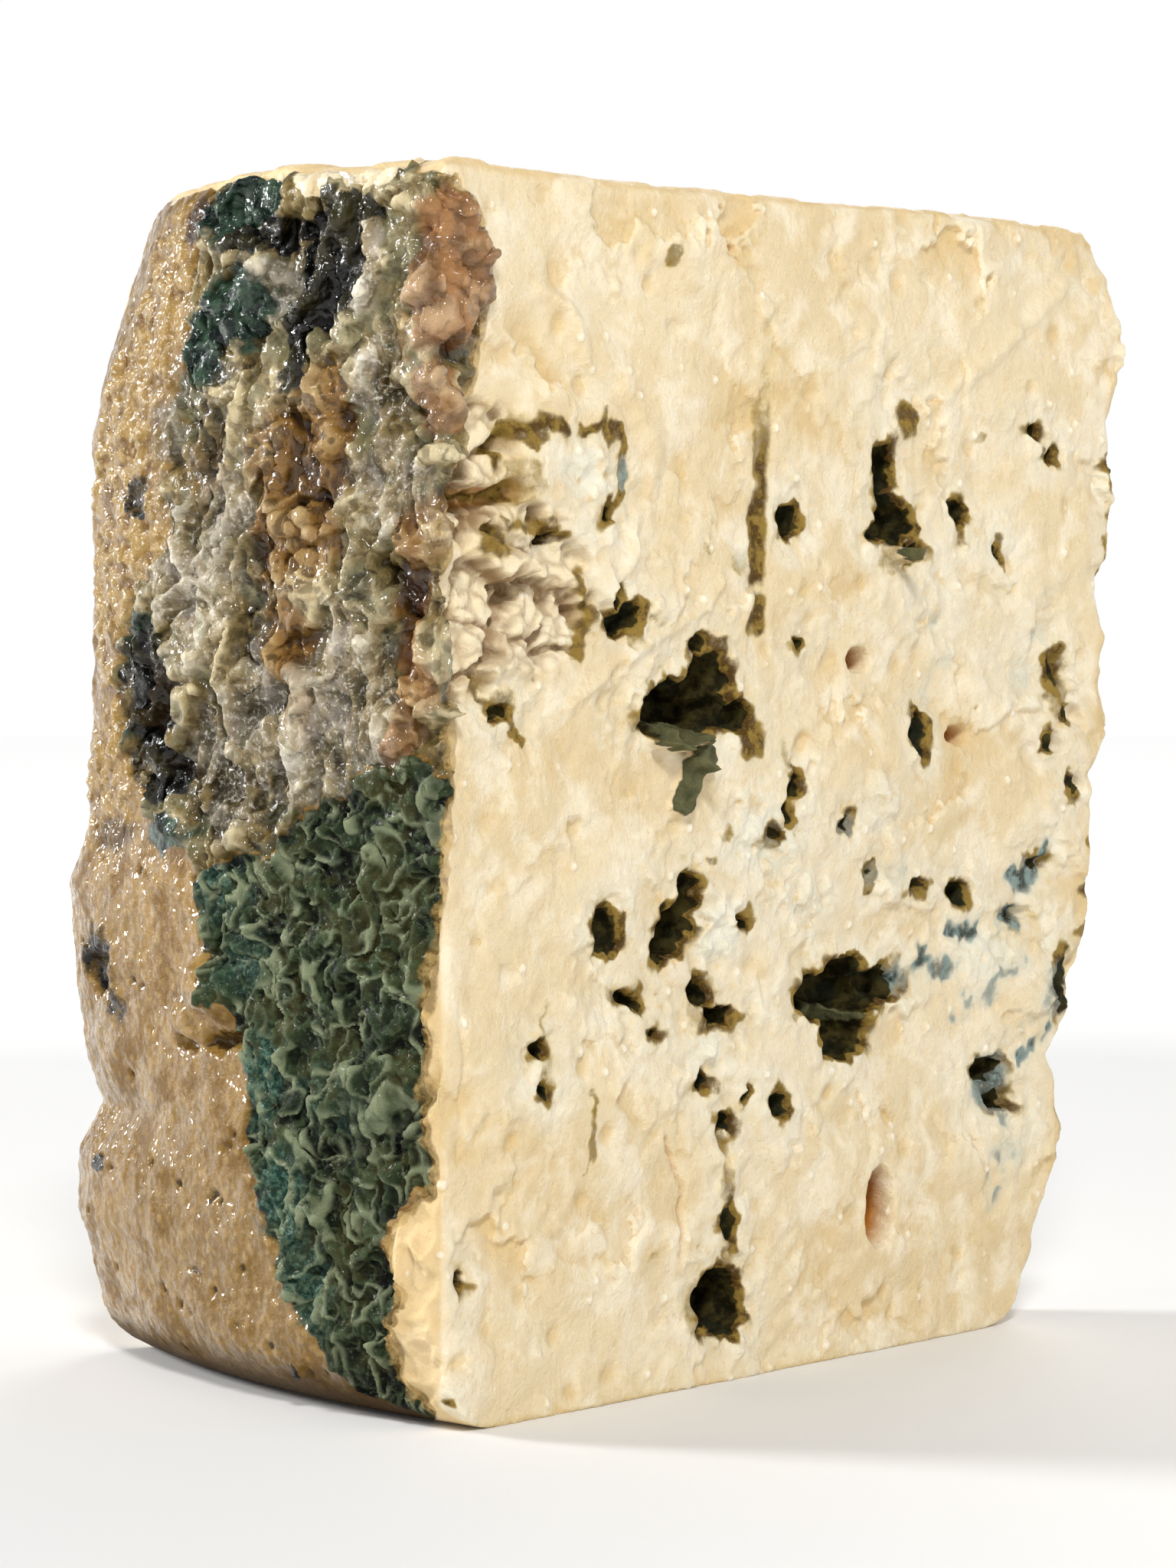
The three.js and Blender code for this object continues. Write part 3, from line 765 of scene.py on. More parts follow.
# Raised skin and hollows in it, as [round, height, wide, tall, how far].
SKIN_LUMPS = [
    (-2.5, 94, 5, 5, 1.3), (1.5, 91, 5, 5, 1), (-1.5, 87.5, 6, 6, 1.4), (-1, 82.5, 3.5, 5, 0.9),
    (2, 96, 6, 3, 0.8), (2, 69.8, 8, 3.6, 1.3), (5, 71.6, 3, 2.4, 0.9), (28.5, 33.6, 9, 5.5, 1.9),
    (33, 31, 6, 3, 0.8), (4.6, 55, 3, 3.6, 0.9), (1.5, 62.5, 2.4, 6, 1.1), (3.2, 58.5, 2.4, 4.5, 1.1),
    (0.2, 76.5, 3, 7, 0.9), (23, 92, 9, 4, 0.7), (27, 95.6, 14, 1.6, 1.1), (11, 87, 3, 6, 0.9),
    (12.5, 79, 3, 9, 1.2), (17.5, 71.5, 8, 2.5, 1.1), (13, 66.5, 5, 3, 1.1),
]
SKIN_HOLLOWS = [
    (6.4, 67.8, 1.9, 3.6, 2.6), (3.8, 63.6, 1.5, 4.4, 1.6), (27.8, 29.4, 8, 1.7, 2),
    (33, 28.8, 4, 1.2, 1.2), (39.5, 57.5, 10, 9, 1.8), (37, 52, 6, 3, 1.2), (5.4, 11.5, 3.2, 2.2, 1.2),
    (26.5, 21, 3.5, 1, 0.8), (7, 75, 2, 3, 0.7), (16.7, 92, 2.2, 9, 1.5), (13.8, 96, 3.5, 2, 1.2),
    (28, 87, 6, 2.4, 1.3), (43.5, 74.5, 5, 3.4, 1.2), (49, 34, 7, 5, 1.2), (15.5, 69.2, 6, 1.2, 1.2),
    (0.5, 99.2, 6, 1.2, 0.8), (-3.2, 90.5, 1.6, 2.4, 0.9), (3.2, 79, 1.6, 3.6, 0.8),
]
SKIN_PITS = [
    (29, 16.4, 2.2, 1.1, 0.8), (34, 17, 1.8, 1.2, 0.8), (31, 10.6, 2.4, 0.8, 0.7), (38, 8, 1.6, 1, 0.6),
    (25, 6, 1.8, 0.9, 0.5),
]
FAR_OUTLINE = (
    (0, 0), (6, -0.2), (12.7, 1.7), (17.8, 1.7), (22.1, -0.5), (24, 0.2), (28, 1.1), (33.6, 1.9),
    (41.6, 2.4), (44, 1.6), (47, 0.5), (60, 0.2), (100, 0),
)


def skin_over(at):
    """How far round from the front cut a point is: less than nothing on the cut face itself."""
    return np.where(at["in_front"] < at["in_rind"], -at["along_front"], at["round"])


def rind_skin(at):
    """Relief and zones of the rind: height in mm outwards, and 0..1 for each kind of skin."""
    turn, z = skin_over(at), at["z"]
    seed = 101
    flat = sheet(turn, z)
    a, b = ragged(turn, z, seed, 1.15)
    band = step(along_route(b, GREEN_RIGHT) - a, -0.4, 0.6) * step(along_route(a, GREEN_TOP) - b, -0.8, 1.4)
    notch = step(reach_of(a, b, (2.0, 14.5, 8.4, 9)), 0.94, 1.04)
    green = band * notch
    grown = 1 - green
    above_green = step(b - along_route(a, GREEN_TOP), -2, 1)
    matted = grown * step(along_route(b, GROWN_RIGHT) - a, -0.8, 1.5) * above_green
    zones = {
        "green": green,
        "dark": patches(a, b, DARK_SKIN, 1.15, 0.7),
        "teal": patches(a, b, TEAL_SKIN, 1.25, 0.5),
        "matted": matted,
        "grey": patches(a, b, GREY_SKIN, 1.2, 0.6) * grown,
        "amber": patches(a, b, AMBER_SKIN, 1.2, 0.5) * grown,
        "pink": patches(a, b, PINK_SKIN, 1.15, 0.7) * (1 - 0.9 * green),
        "golden": patches(a, b, GOLDEN_SKIN, 1.15, 0.75) * grown,
        "bare": patches(a, b, BARE_SKIN, 1.1, 0.8),
    }
    warp = np.stack([waves(flat, 5.5, seed + 11), waves(flat, 5.5, seed + 12)], axis=1)
    curl = np.stack([waves(flat, 2.2, seed + 13), waves(flat, 2.2, seed + 14)], axis=1)
    leather = folds(flat + 2.6 * warp + 0.8 * curl, (5.6, 6.6), 2, seed + 15, 1.4)
    wrinkles = crinkles(flat + 2.4 * warp + 1.0 * curl, 4.4, seed + 17, 0.1)
    wrinkles = np.maximum(wrinkles, 0.8 * crinkles(flat + 1.6 * warp + 0.9 * curl, 2.8, seed + 19, 0.12))
    wrinkles *= 0.4 + 0.6 * step(rough(flat, 3, 2, seed + 20), -0.4, 0.3)
    drapes = folds(flat + 4.5 * warp + 0.8 * curl, (8.5, 15), 3, seed + 18, 1.3)
    creases = folds(flat + 2.0 * warp, (3.0, 4.6), 2, seed + 21, 1.4)
    lined = rough(flat + 0.8 * warp, (2.6, 1.9), 3, seed + 22)
    upper = np.clip(matted + grown * zones["pink"] + 0.6 * grown * zones["dark"], 0, 1)
    tan = np.clip(1 - green - upper - zones["golden"], 0, 1)
    height = green * (1.7 * leather + 0.8 * creases - 1.2)
    thin_creases = crinkles(flat + 2.8 * warp + 0.8 * curl, (4.0, 6.0), seed + 35, 0.1)
    height += upper * (3.4 * drapes + 0.45 * creases - 1.8)
    knobbly = 0.55 * lined + 0.5 * rough(flat, 5, 2, seed + 26) + 0.5 * creases
    height += zones["golden"] * (1 - upper) * knobbly
    height += tan * (0.4 * rough(flat, (8, 6), 3, seed + 29) + 0.15 * lined)
    near, _, number, _ = lumps(flat, 3.4, seed + 33)
    small_pits = step(near, 0.16, 0.05) * step(number, 0.8, 0.9)
    placed_pits, _ = carve_holes(a, b, SKIN_PITS)
    pits = tan * np.maximum(small_pits, step(placed_pits, 0.2, 0.6))
    hollow, _ = carve_holes(a, b, SKIN_HOLLOWS)
    raised = np.zeros_like(a)
    for mark in SKIN_LUMPS:
        raised = np.maximum(raised, mark[4] * step(reach_of(a, b, mark), 1.15, 0.35))
    height += raised - hollow - 0.6 * pits
    height += along_route(z, FAR_OUTLINE) * step(turn, 26, 54)
    border = along_route(b, SKIN_BORDER)
    over = border + turn + 0.5 * (a - turn)
    lip = 0.45 * step(np.abs(over - 0.9), 1.6, 0) * step(z, 22, 34)
    height += lip
    lines = green * wrinkles + upper * (1 - green) * thin_creases
    crest = green * (0.35 * leather + 0.25 * creases) + upper * (0.65 * drapes + 0.35 * creases)
    crest = np.clip(crest, 0, 1)
    # crest and pits also drive painted shade in the finish: the skin is darkened in its valleys, hollows and
    # pits.
    far_side = step(turn, 58, 55.5)
    zones.update(
        height=height,
        crest=np.clip(crest + 0.25 * raised, 0, 1),
        pits=np.maximum(pits, step(hollow, 0.4, 1.6)),
        tan=tan,
        upper=upper,
        lined=lined,
        lines=lines,
        skin=step(over, -0.25, 0.25) * far_side,
        border=step(np.abs(over), 1.1, 0.2) * far_side,
    )
    return zones


def new_mesh_object(name, points, quads):
    mesh = bpy.data.meshes.new(name)
    mesh.vertices.add(len(points))
    mesh.vertices.foreach_set("co", (points * MM).astype(np.float32).ravel())
    mesh.loops.add(quads.size)
    mesh.loops.foreach_set("vertex_index", quads.astype(np.int32).ravel())
    mesh.polygons.add(len(quads))
    mesh.polygons.foreach_set("loop_start", np.arange(0, quads.size, 4, dtype=np.int32))
    mesh.update(calc_edges=True)
    made = bpy.data.objects.new(name, mesh)
    bpy.context.collection.objects.link(made)
    return made


def outward_directions():
    """Which way each face's relief stands out, as functions of the points."""
    def cut(side):
        return lambda p: np.broadcast_to(np.array([SIN_FACE, side * COS_FACE, 0.0]), p.shape)

    def rind(p):
        out = np.stack([p[:, 0] - WHEEL_X, p[:, 1], np.zeros(len(p))], axis=1)
        return out / np.linalg.norm(out, axis=1)[:, None]

    return {"front": cut(-1), "back": cut(1), "rind": rind}


# How far the thin end stands out from its straight line, as (height, mm).
END_OUTLINE = (
    (0, -0.5), (3, -0.8), (8, 0), (11.4, 0.6), (15.5, 2.1), (20, 1.4), (24.1, 0.2), (28, 2.0), (37, 3.2),
    (45.4, 2.3), (49.7, 1.4), (54, 3.4), (58.3, 2.0), (62.7, 2.2), (67, 0.3), (71, 1.5), (75.7, 1.9),
    (80, 0.1), (84.4, 1.0), (88.8, 1.5), (93, 0.6), (97, -1.5), (100, -2.5),
)


def end_growth(points):
    """Where mould grew in the thin end, about -1..1; the knife opened its pockets where it is high."""
    return rough(points[:, 1:], (5, 7), 3, 225)


END_POCKETS = (0.28, 0.5)
END_STAINS = (0.0, 0.35)


def worked_out(rule, at, here):
    """A face's relief and marks, worked out only where the face is and zero elsewhere."""
    results = rule({name: value[here] for name, value in at.items()})
    spread = {}
    for name, value in results.items():
        spread[name] = np.zeros(len(here), np.float32)
        spread[name][here] = value
    return spread


# The rind's marks also reach a little way on to the front cut and under the lower rim.
CURL_WIDTH = 9.0
CURL_DEPTH = 4
RIM_UNDER = 7.5
RIM_HEIGHT = 3


def surface_marks(points, soft):
    """The share of each face at each point, and the relief and marks of the faces."""
    at = locate(points)
    shares = {face: share(at, face, soft) for face in FACES}
    near_edge = (at["in_front"] < CURL_DEPTH) & (at["along_front"] < CURL_WIDTH)
    near_edge |= (at["in_base"] < RIM_HEIGHT) & (at["in_rind"] < RIM_UNDER + waves(points, 3.0, 41))
    marks = {}
    for face in ("front", "back"):
        here = (shares[face] > 0) | (shares["end"] > 0)
        marks[face] = worked_out(partial(cut_face, face=face), at, here)
    marks["rind"] = worked_out(rind_skin, at, (shares["rind"] > 0) | near_edge)
    skin = marks["rind"]["skin"] * np.maximum(shares["rind"], near_edge)
    return at, shares, marks, skin


END_WORN = 14
SOFT_EDGE = 1.0


def carve(points):
    """The plain wedge with all relief that is wider than about a millimetre."""
    at, shares, marks, skin = surface_marks(points, SOFT_EDGE)
    outward = outward_directions()
    moved = points.copy()
    for face in ("front", "back"):
        height = marks[face]["height"]
        if face == "front":
            height = height * (1 - skin) + marks["rind"]["height"] * skin
        moved += outward[face](points) * (height * shares[face])[:, None]
    moved += outward["rind"](points) * (marks["rind"]["height"] * shares["rind"])[:, None]
    top_plates = step(rough(points, 7, 3, 205), 0.05, 0.15)
    moved[:, 2] += shares["top"] * (0.35 * rough(points, 16, 3, 201) + 0.22 * top_plates)
    height_on_end = points[:, 2] + 1.2 * waves(points, 3, 215)
    ragged_end = 0.7 * rough(points, (6, 6, 5), 4, 211) + along_route(height_on_end, END_OUTLINE)
    _, _, chip_number, chip_tilt = lumps(points[:, 1:] + 0.8 * waves(points, 3, 217)[:, None], (5, 4), 219)
    chips = 0.8 * chip_tilt + 0.6 * (chip_number - 0.5) + 0.3 * rough(points, 2.2, 3, 221)
    moved[:, 0] += ragged_end * step(at["in_end"], END_WORN, 0)
    moved[:, 0] += shares["end"] * (chips - 1.6 * step(end_growth(points), *END_POCKETS))
    moved[:, 2] = np.maximum(moved[:, 2], 0)
    return moved


LATTICE_SPAN = (98, 56, 100)
counts = [round(size / COARSE_CELL) for size in LATTICE_SPAN]
lattice, quads = box_skin(counts)
wedge = new_mesh_object("cheese_wedge_surface", carve(place_on_wedge(lattice, counts)), quads)

remesh = wedge.modifiers.new("even_cells", "REMESH")
remesh.mode = "VOXEL"
remesh.voxel_size = FINE_CELL * MM
with_modifiers = wedge.evaluated_get(bpy.context.evaluated_depsgraph_get())
even_mesh = bpy.data.meshes.new_from_object(with_modifiers)
wedge.modifiers.clear()
wedge.data = even_mesh


def read_points(mesh):
    points = np.empty(len(mesh.vertices) * 3, np.float32)
    mesh.vertices.foreach_get("co", points)
    return points.reshape(-1, 3).astype(float) / MM


def read_normals(mesh):
    normals = np.empty(len(mesh.vertices) * 3, np.float32)
    mesh.vertex_normals.foreach_get("vector", normals)
    return normals.reshape(-1, 3)


CRISP_EDGE = 0.7
points = read_points(even_mesh)
at, shares, marks, skin_share = surface_marks(points, CRISP_EDGE)
rind = marks["rind"]
cut_marks = {}
for mark in ("mould", "stain", "blue", "white", "deep", "torn", "flap", "gaps", "worn"):
    towards_front = shares["front"] + 0.5 * shares["end"]
    towards_back = shares["back"] + 0.5 * shares["end"]
    cut_marks[mark] = np.maximum(towards_front * marks["front"][mark], towards_back * marks["back"][mark])
for mark, limits in (("mould", END_POCKETS), ("stain", END_STAINS)):
    on_end = shares["end"] * step(end_growth(points), *limits)
    cut_marks[mark] = np.maximum(cut_marks[mark], on_end)
cut_share = 1 - skin_share

# Relief finer than a millimetre, along the surface's own normals.
fine = cut_share * (0.06 * rough(points, 1.5, 3, 301) - 0.03)
fine += cut_share * cut_marks["white"] * 0.13 * rough(points, 0.9, 2, 305)
fine += cut_marks["mould"] * 0.26 * rough(points, 1.1, 3, 309)
fine += cut_marks["torn"] * 0.16 * rough(points, 1.0, 3, 313)
crumb_near, _, crumb_number, _ = lumps(points, 1.7, 317)
crumbs = cut_share * step(crumb_near, 0.34, 0.1) * step(crumb_number, 0.84, 0.9)
fine += crumbs * 0.24 * (1 - cut_marks["mould"])
fine_folds = folds(points, 1.5, 2, 321, 1.4)
fine += skin_share * rind["green"] * 0.4 * (fine_folds - 0.35)
fine += skin_share * rind["upper"] * 0.3 * (fine_folds - 0.35)
fine += skin_share * 0.6 * rind["lines"]
bead_near, _, bead_number, _ = lumps(points, (1.0, 1.0, 0.8), 325)
beads = np.clip(1 - bead_near * 1.4, 0, 1) * (0.4 + bead_number)
fine += skin_share * (1 - rind["upper"]) * rind["golden"] * 0.34 * beads
fine += skin_share * rind["tan"] * 0.12 * beads
fine *= 1 - 0.8 * shares["base"]
points = points + read_normals(even_mesh) * fine[:, None]
points[:, 2] = np.maximum(points[:, 2], 0)
even_mesh.vertices.foreach_set("co", (points * MM).astype(np.float32).ravel())
even_mesh.polygons.foreach_set("use_smooth", np.ones(len(even_mesh.polygons), bool))
even_mesh.update()


def keep_marks(mesh, name, channels):
    """Stores up to four 0..1 values a point for the finish to read."""
    packed = np.ones((len(mesh.vertices), 4), np.float32)
    for number, channel in enumerate(channels):
        packed[:, number] = np.clip(channel, 0, 1)
    layer = mesh.color_attributes.new(name, "FLOAT_COLOR", "POINT")
    layer.data.foreach_set("color", packed.ravel())


keep_marks(even_mesh, "cut_marks", [cut_marks[m] for m in ("mould", "stain", "blue", "white")])
keep_marks(even_mesh, "depth_marks", [cut_marks["deep"], cut_marks["torn"], crumbs, skin_share])
keep_marks(even_mesh, "curd_marks", [cut_marks["flap"], cut_marks["gaps"], cut_marks["worn"], rind["border"]])
keep_marks(even_mesh, "skin_marks", [rind[m] for m in ("green", "dark", "teal", "grey")])
keep_marks(even_mesh, "skin_tints", [rind[m] for m in ("amber", "pink", "golden", "bare")])
keep_marks(even_mesh, "skin_relief", [rind["crest"], rind["pits"], 0.5 + 0.5 * rind["lined"], beads])
# The fourth value marks the rind's lowest five or so millimetres, where the finish paints shade.
keep_marks(even_mesh, "growth_marks", [rind["matted"], rind["lines"], fine_folds, step(at["z"], 5.5, 1.0)])


class Finish:
    """Builds a finish from shader nodes, a line at a time."""

    def __init__(self, name):
        self.material = bpy.data.materials.new(name)
        self.material.use_nodes = True
        self.tree = self.material.node_tree
        self.shader = self.tree.nodes["Principled BSDF"]
        self.place = self.tree.nodes.new("ShaderNodeTexCoord").outputs["Object"]

    def link(self, source, socket):
        if isinstance(source, (int, float)):
            socket.default_value = source
        elif isinstance(source, tuple):
            socket.default_value = (*source, 1)
        else:
            self.tree.links.new(source, socket)

    def marks(self, name, labels):
        read = self.tree.nodes.new("ShaderNodeAttribute")
        read.attribute_name = name
        split = self.tree.nodes.new("ShaderNodeSeparateColor")
        self.link(read.outputs["Color"], split.inputs[0])
        outputs = list(split.outputs) + [read.outputs["Alpha"]]
        return dict(zip(labels, outputs))

    def noise(self, size_mm, detail=4, rough=0.6, distortion=0.0):
        node = self.tree.nodes.new("ShaderNodeTexNoise")
        node.inputs["Scale"].default_value = 1000 / size_mm
        node.inputs["Detail"].default_value = detail
        node.inputs["Roughness"].default_value = rough
        node.inputs["Distortion"].default_value = distortion
        self.link(self.place, node.inputs["Vector"])
        return node.outputs["Fac"]

    def sum(self, operation, first, second=0.0):
        node = self.tree.nodes.new("ShaderNodeMath")
        node.operation = operation
        self.link(first, node.inputs[0])
        self.link(second, node.inputs[1])
        return node.outputs[0]

    def rise(self, value, low, high, to_low=0.0, to_high=1.0):
        node = self.tree.nodes.new("ShaderNodeMapRange")
        node.interpolation_type = "SMOOTHSTEP"
        self.link(value, node.inputs["Value"])
        node.inputs["From Min"].default_value = low
        node.inputs["From Max"].default_value = high
        node.inputs["To Min"].default_value = to_low
        node.inputs["To Max"].default_value = to_high
        return node.outputs["Result"]

    def blend(self, amount, below, above, mode="MIX"):
        node = self.tree.nodes.new("ShaderNodeMix")
        node.data_type = "RGBA"
        node.blend_type = mode
        self.link(amount, node.inputs["Factor"])
        self.link(below, node.inputs["A"])
        self.link(above, node.inputs["B"])
        return node.outputs["Result"]

    def wash(self, below, mark, low, high, strength, colour):
        """Lays a colour over another where a mark rises from low to high."""
        return self.blend(self.rise(mark, low, high, 0, strength), below, tint(*colour))

    def mix_values(self, amount, below, above):
        node = self.tree.nodes.new("ShaderNodeMix")
        self.link(amount, node.inputs["Factor"])
        self.link(below, node.inputs["A"])
        self.link(above, node.inputs["B"])
        return node.outputs["Result"]

    def edged(self, mark, noise, low=0.35, high=0.6):
        """A mark's soft edge broken up by noise into a ragged one."""
        broken = self.sum("ADD", mark, self.sum("MULTIPLY", self.sum("SUBTRACT", noise, 0.5), 0.9))
        return self.rise(self.sum("MULTIPLY", broken, self.rise(mark, 0.0, 0.12)), low, high)


def tint(red, green, blue):
    """A colour as a maker reads it off a chart, turned into the shader's own scale."""
    return tuple(((c / 255 + 0.055) / 1.055) ** 2.4 for c in (red, green, blue))


finish = Finish("blue_cheese")
cut = finish.marks("cut_marks", ("mould", "stain", "blue", "white"))
depth = finish.marks("depth_marks", ("deep", "torn", "crumbs", "skin"))
curd = finish.marks("curd_marks", ("flap", "gaps", "worn", "border"))
skin = finish.marks("skin_marks", ("green", "dark", "teal", "grey"))
tints = finish.marks("skin_tints", ("amber", "pink", "golden", "bare"))
relief = finish.marks("skin_relief", ("crest", "pits", "lined", "beads"))
growth = finish.marks("growth_marks", ("matted", "lines", "folds", "rim"))
broad = finish.noise(20, 3)
patchy = finish.noise(5, 4, 0.6, 0.4)
small = finish.noise(1.6, 5, 0.65)
tiny = finish.noise(0.5, 3, 0.7)

# Paste: ivory and butter yellow, whiter and crumbly near the veins.
paste = finish.blend(finish.rise(broad, 0.38, 0.62), tint(232, 214, 178), tint(224, 202, 160))
paste = finish.wash(paste, patchy, 0.42, 0.66, 1.0, (241, 228, 200))
paste = finish.wash(paste, small, 0.5, 0.72, 0.4, (214, 186, 134))
# Painted shade and highlight: warmer and darker where the paste's relief is low, paler where it is high.
paste = finish.wash(paste, curd["worn"], 0.48, 0.15, 0.6, (214, 182, 122))
paste = finish.wash(paste, curd["worn"], 0.55, 0.95, 0.5, (244, 234, 210))
whitened = finish.sum("MULTIPLY", cut["white"], finish.rise(small, 0.34, 0.5))
paste = finish.blend(whitened, paste, tint(230, 226, 208))
paste = finish.wash(paste, depth["torn"], 0.2, 0.9, 0.6, (240, 224, 190))
paste = finish.wash(paste, depth["crumbs"], 0.2, 0.9, 0.6, (250, 242, 224))
# Painted shade: brown in the recesses between the lumps of torn curd.
paste = finish.blend(finish.sum("MULTIPLY", curd["gaps"], 0.8), paste, tint(124, 86, 34))
# Painted shade: amber in the deep parts of clean holes and cracks.
paste = finish.blend(depth["deep"], paste, tint(178, 112, 34))
stained = finish.blend(finish.rise(small, 0.42, 0.58), tint(82, 58, 18), tint(146, 120, 58))
stain_edge = finish.edged(cut["stain"], small, 0.5, 0.95)
paste = finish.wash(paste, cut["stain"], 0.1, 0.8, 0.35, (214, 190, 126))
paste = finish.blend(stain_edge, paste, stained)
blued = finish.blend(finish.rise(small, 0.42, 0.6), tint(30, 46, 44), tint(136, 152, 146))
paste = finish.wash(paste, cut["blue"], 0.1, 0.9, 0.5, (196, 200, 186))
paste = finish.blend(finish.edged(cut["blue"], small, 0.55, 1.0), paste, blued)
mouldy = finish.blend(finish.rise(small, 0.42, 0.6), tint(26, 22, 5), tint(64, 56, 24))
mouldy = finish.wash(mouldy, patchy, 0.5, 0.64, 0.7, (38, 44, 30))
flap = finish.blend(small, tint(44, 44, 26), tint(128, 128, 90))
mouldy = finish.blend(finish.rise(curd["flap"], 0.2, 0.9, 0, 0.8), mouldy, flap)
veined = finish.sum("MAXIMUM", cut["mould"], curd["flap"])
paste = finish.blend(finish.edged(veined, small, 0.3, 0.62), paste, mouldy)

# Rind: tan and wet where it was wrapped, with grey, amber, pink and blue-green growth on it.
tan = finish.blend(finish.rise(patchy, 0.38, 0.62), tint(118, 86, 32), tint(158, 124, 62))
tan = finish.wash(tan, small, 0.46, 0.64, 0.5, (100, 72, 28))
tan = finish.wash(tan, broad, 0.4, 0.65, 0.6, (120, 92, 40))
# Painted highlight: lighter on the tops of the small beads.
tan = finish.wash(tan, relief["beads"], 0.25, 0.8, 0.4, (178, 148, 92))
# Painted shade: the rind's bottom rim darkens to black-brown towards the floor.
tan = finish.blend(finish.sum("MULTIPLY", growth["rim"], 0.95), tan, tint(58, 40, 14))
# Golden skin: darker in the hollows of its lined relief, painted shade, and lighter on the beads, painted
# highlight.
golden = finish.blend(finish.rise(relief["lined"], 0.25, 0.65), tint(112, 80, 32), tint(158, 128, 72))
golden = finish.wash(golden, relief["beads"], 0.2, 0.9, 0.6, (186, 160, 108))
# Painted glints: near-white specks on the ridges of the golden skin, standing in for wet highlights.
painted_glints = finish.sum("MULTIPLY", finish.rise(tiny, 0.58, 0.66), finish.rise(relief["lined"], 0.35, 0.6, 0, 0.8))
golden = finish.blend(painted_glints, golden, tint(240, 232, 212))
tan = finish.blend(tints["golden"], tan, golden)
# Grey skin follows the relief: darker in the valleys, painted shade; paler on the crests, pale fuzz with
# painted highlight.
greyed = finish.blend(finish.rise(relief["crest"], 0.2, 0.5), tint(58, 48, 24), tint(146, 130, 96))
greyed = finish.wash(greyed, relief["crest"], 0.45, 0.85, 1.0, (228, 220, 200))
greyed = finish.wash(greyed, patchy, 0.46, 0.62, 0.6, (164, 156, 148))
greyed = finish.wash(greyed, small, 0.5, 0.66, 0.45, (108, 112, 84))
# Olive skin, the same way: painted shade in the valleys, pale fuzz and painted highlight on the crests.
olive = finish.blend(finish.rise(relief["crest"], 0.15, 0.45), tint(42, 32, 12), tint(124, 106, 64))
olive = finish.wash(olive, relief["crest"], 0.42, 0.8, 1.0, (212, 196, 156))
olive = finish.wash(olive, patchy, 0.46, 0.6, 0.6, (104, 106, 78))
olive = finish.wash(olive, small, 0.52, 0.68, 0.5, (168, 154, 118))
# Painted shade in the hollows of the fine folds.
olive = finish.wash(olive, growth["folds"], 0.3, 0.1, 0.5, (60, 48, 20))
rindy = finish.blend(finish.edged(growth["matted"], small, 0.3, 0.7), tan, olive)
# Painted shade in the hollows of the fine folds.
greyed = finish.wash(greyed, growth["folds"], 0.3, 0.1, 0.5, (84, 70, 40))
greyed = finish.wash(greyed, tiny, 0.52, 0.68, 0.6, (232, 226, 210))
rindy = finish.blend(finish.edged(skin["grey"], patchy, 0.2, 1.0), rindy, greyed)
# Amber skin: near black in the valleys, painted shade; paler on the crests, painted highlight.
amber = finish.blend(finish.rise(relief["crest"], 0.15, 0.6), tint(44, 24, 4), tint(134, 98, 46))
amber = finish.wash(amber, relief["crest"], 0.5, 0.9, 0.8, (186, 160, 112))
# Painted shade in the hollows of the fine folds.
amber = finish.wash(amber, growth["folds"], 0.35, 0.1, 0.7, (58, 36, 10))
rindy = finish.blend(finish.edged(tints["amber"], patchy, 0.1, 0.9), rindy, amber)
# Pink skin: paler on the crests, painted highlight, and dark brown where the relief is low, painted shade.
pinked = finish.blend(finish.rise(patchy, 0.42, 0.6), tint(158, 114, 72), tint(108, 78, 48))
pinked = finish.wash(pinked, relief["crest"], 0.55, 0.95, 0.7, (206, 172, 130))
pinked = finish.wash(pinked, relief["crest"], 0.4, 0.15, 0.8, (92, 50, 20))
rindy = finish.blend(finish.edged(tints["pink"], patchy, 0.15, 0.9), rindy, pinked)
teal = finish.blend(finish.rise(small, 0.42, 0.62), tint(10, 26, 20), tint(58, 80, 62))
rindy = finish.blend(finish.edged(skin["teal"], small, 0.4, 0.85), rindy, teal)
# Dark skin: dark mould, near black in its valleys, painted shade.
dark = finish.blend(finish.rise(relief["crest"], 0.3, 0.8), tint(5, 5, 2), tint(56, 52, 28))
rindy = finish.blend(finish.edged(skin["dark"], small, 0.45, 0.8), rindy, dark)
# Green skin: near black in the valleys, painted shade; paler crest lines, pale fuzz with painted highlight.
green = finish.blend(finish.rise(relief["crest"], 0.12, 0.5), tint(4, 6, 2), tint(40, 52, 30))
green = finish.blend(finish.sum("MULTIPLY", finish.rise(patchy, 0.46, 0.6), 0.6), green, tint(70, 68, 34))
# Paler on the fine folds' crests: painted highlight.
green = finish.wash(green, growth["folds"], 0.3, 0.75, 0.6, (66, 80, 52))
teal_grown = finish.blend(finish.rise(tiny, 0.4, 0.62), tint(22, 52, 46), tint(74, 106, 90))
green = finish.blend(finish.sum("MULTIPLY", skin["teal"], finish.rise(small, 0.3, 0.55)), green, teal_grown)
green = finish.wash(green, growth["lines"], 0.2, 0.9, 0.75, (136, 144, 112))
green = finish.wash(green, tiny, 0.56, 0.74, 0.45, (116, 126, 98))
rindy = finish.blend(finish.edged(skin["green"], small, 0.3, 0.6), rindy, green)
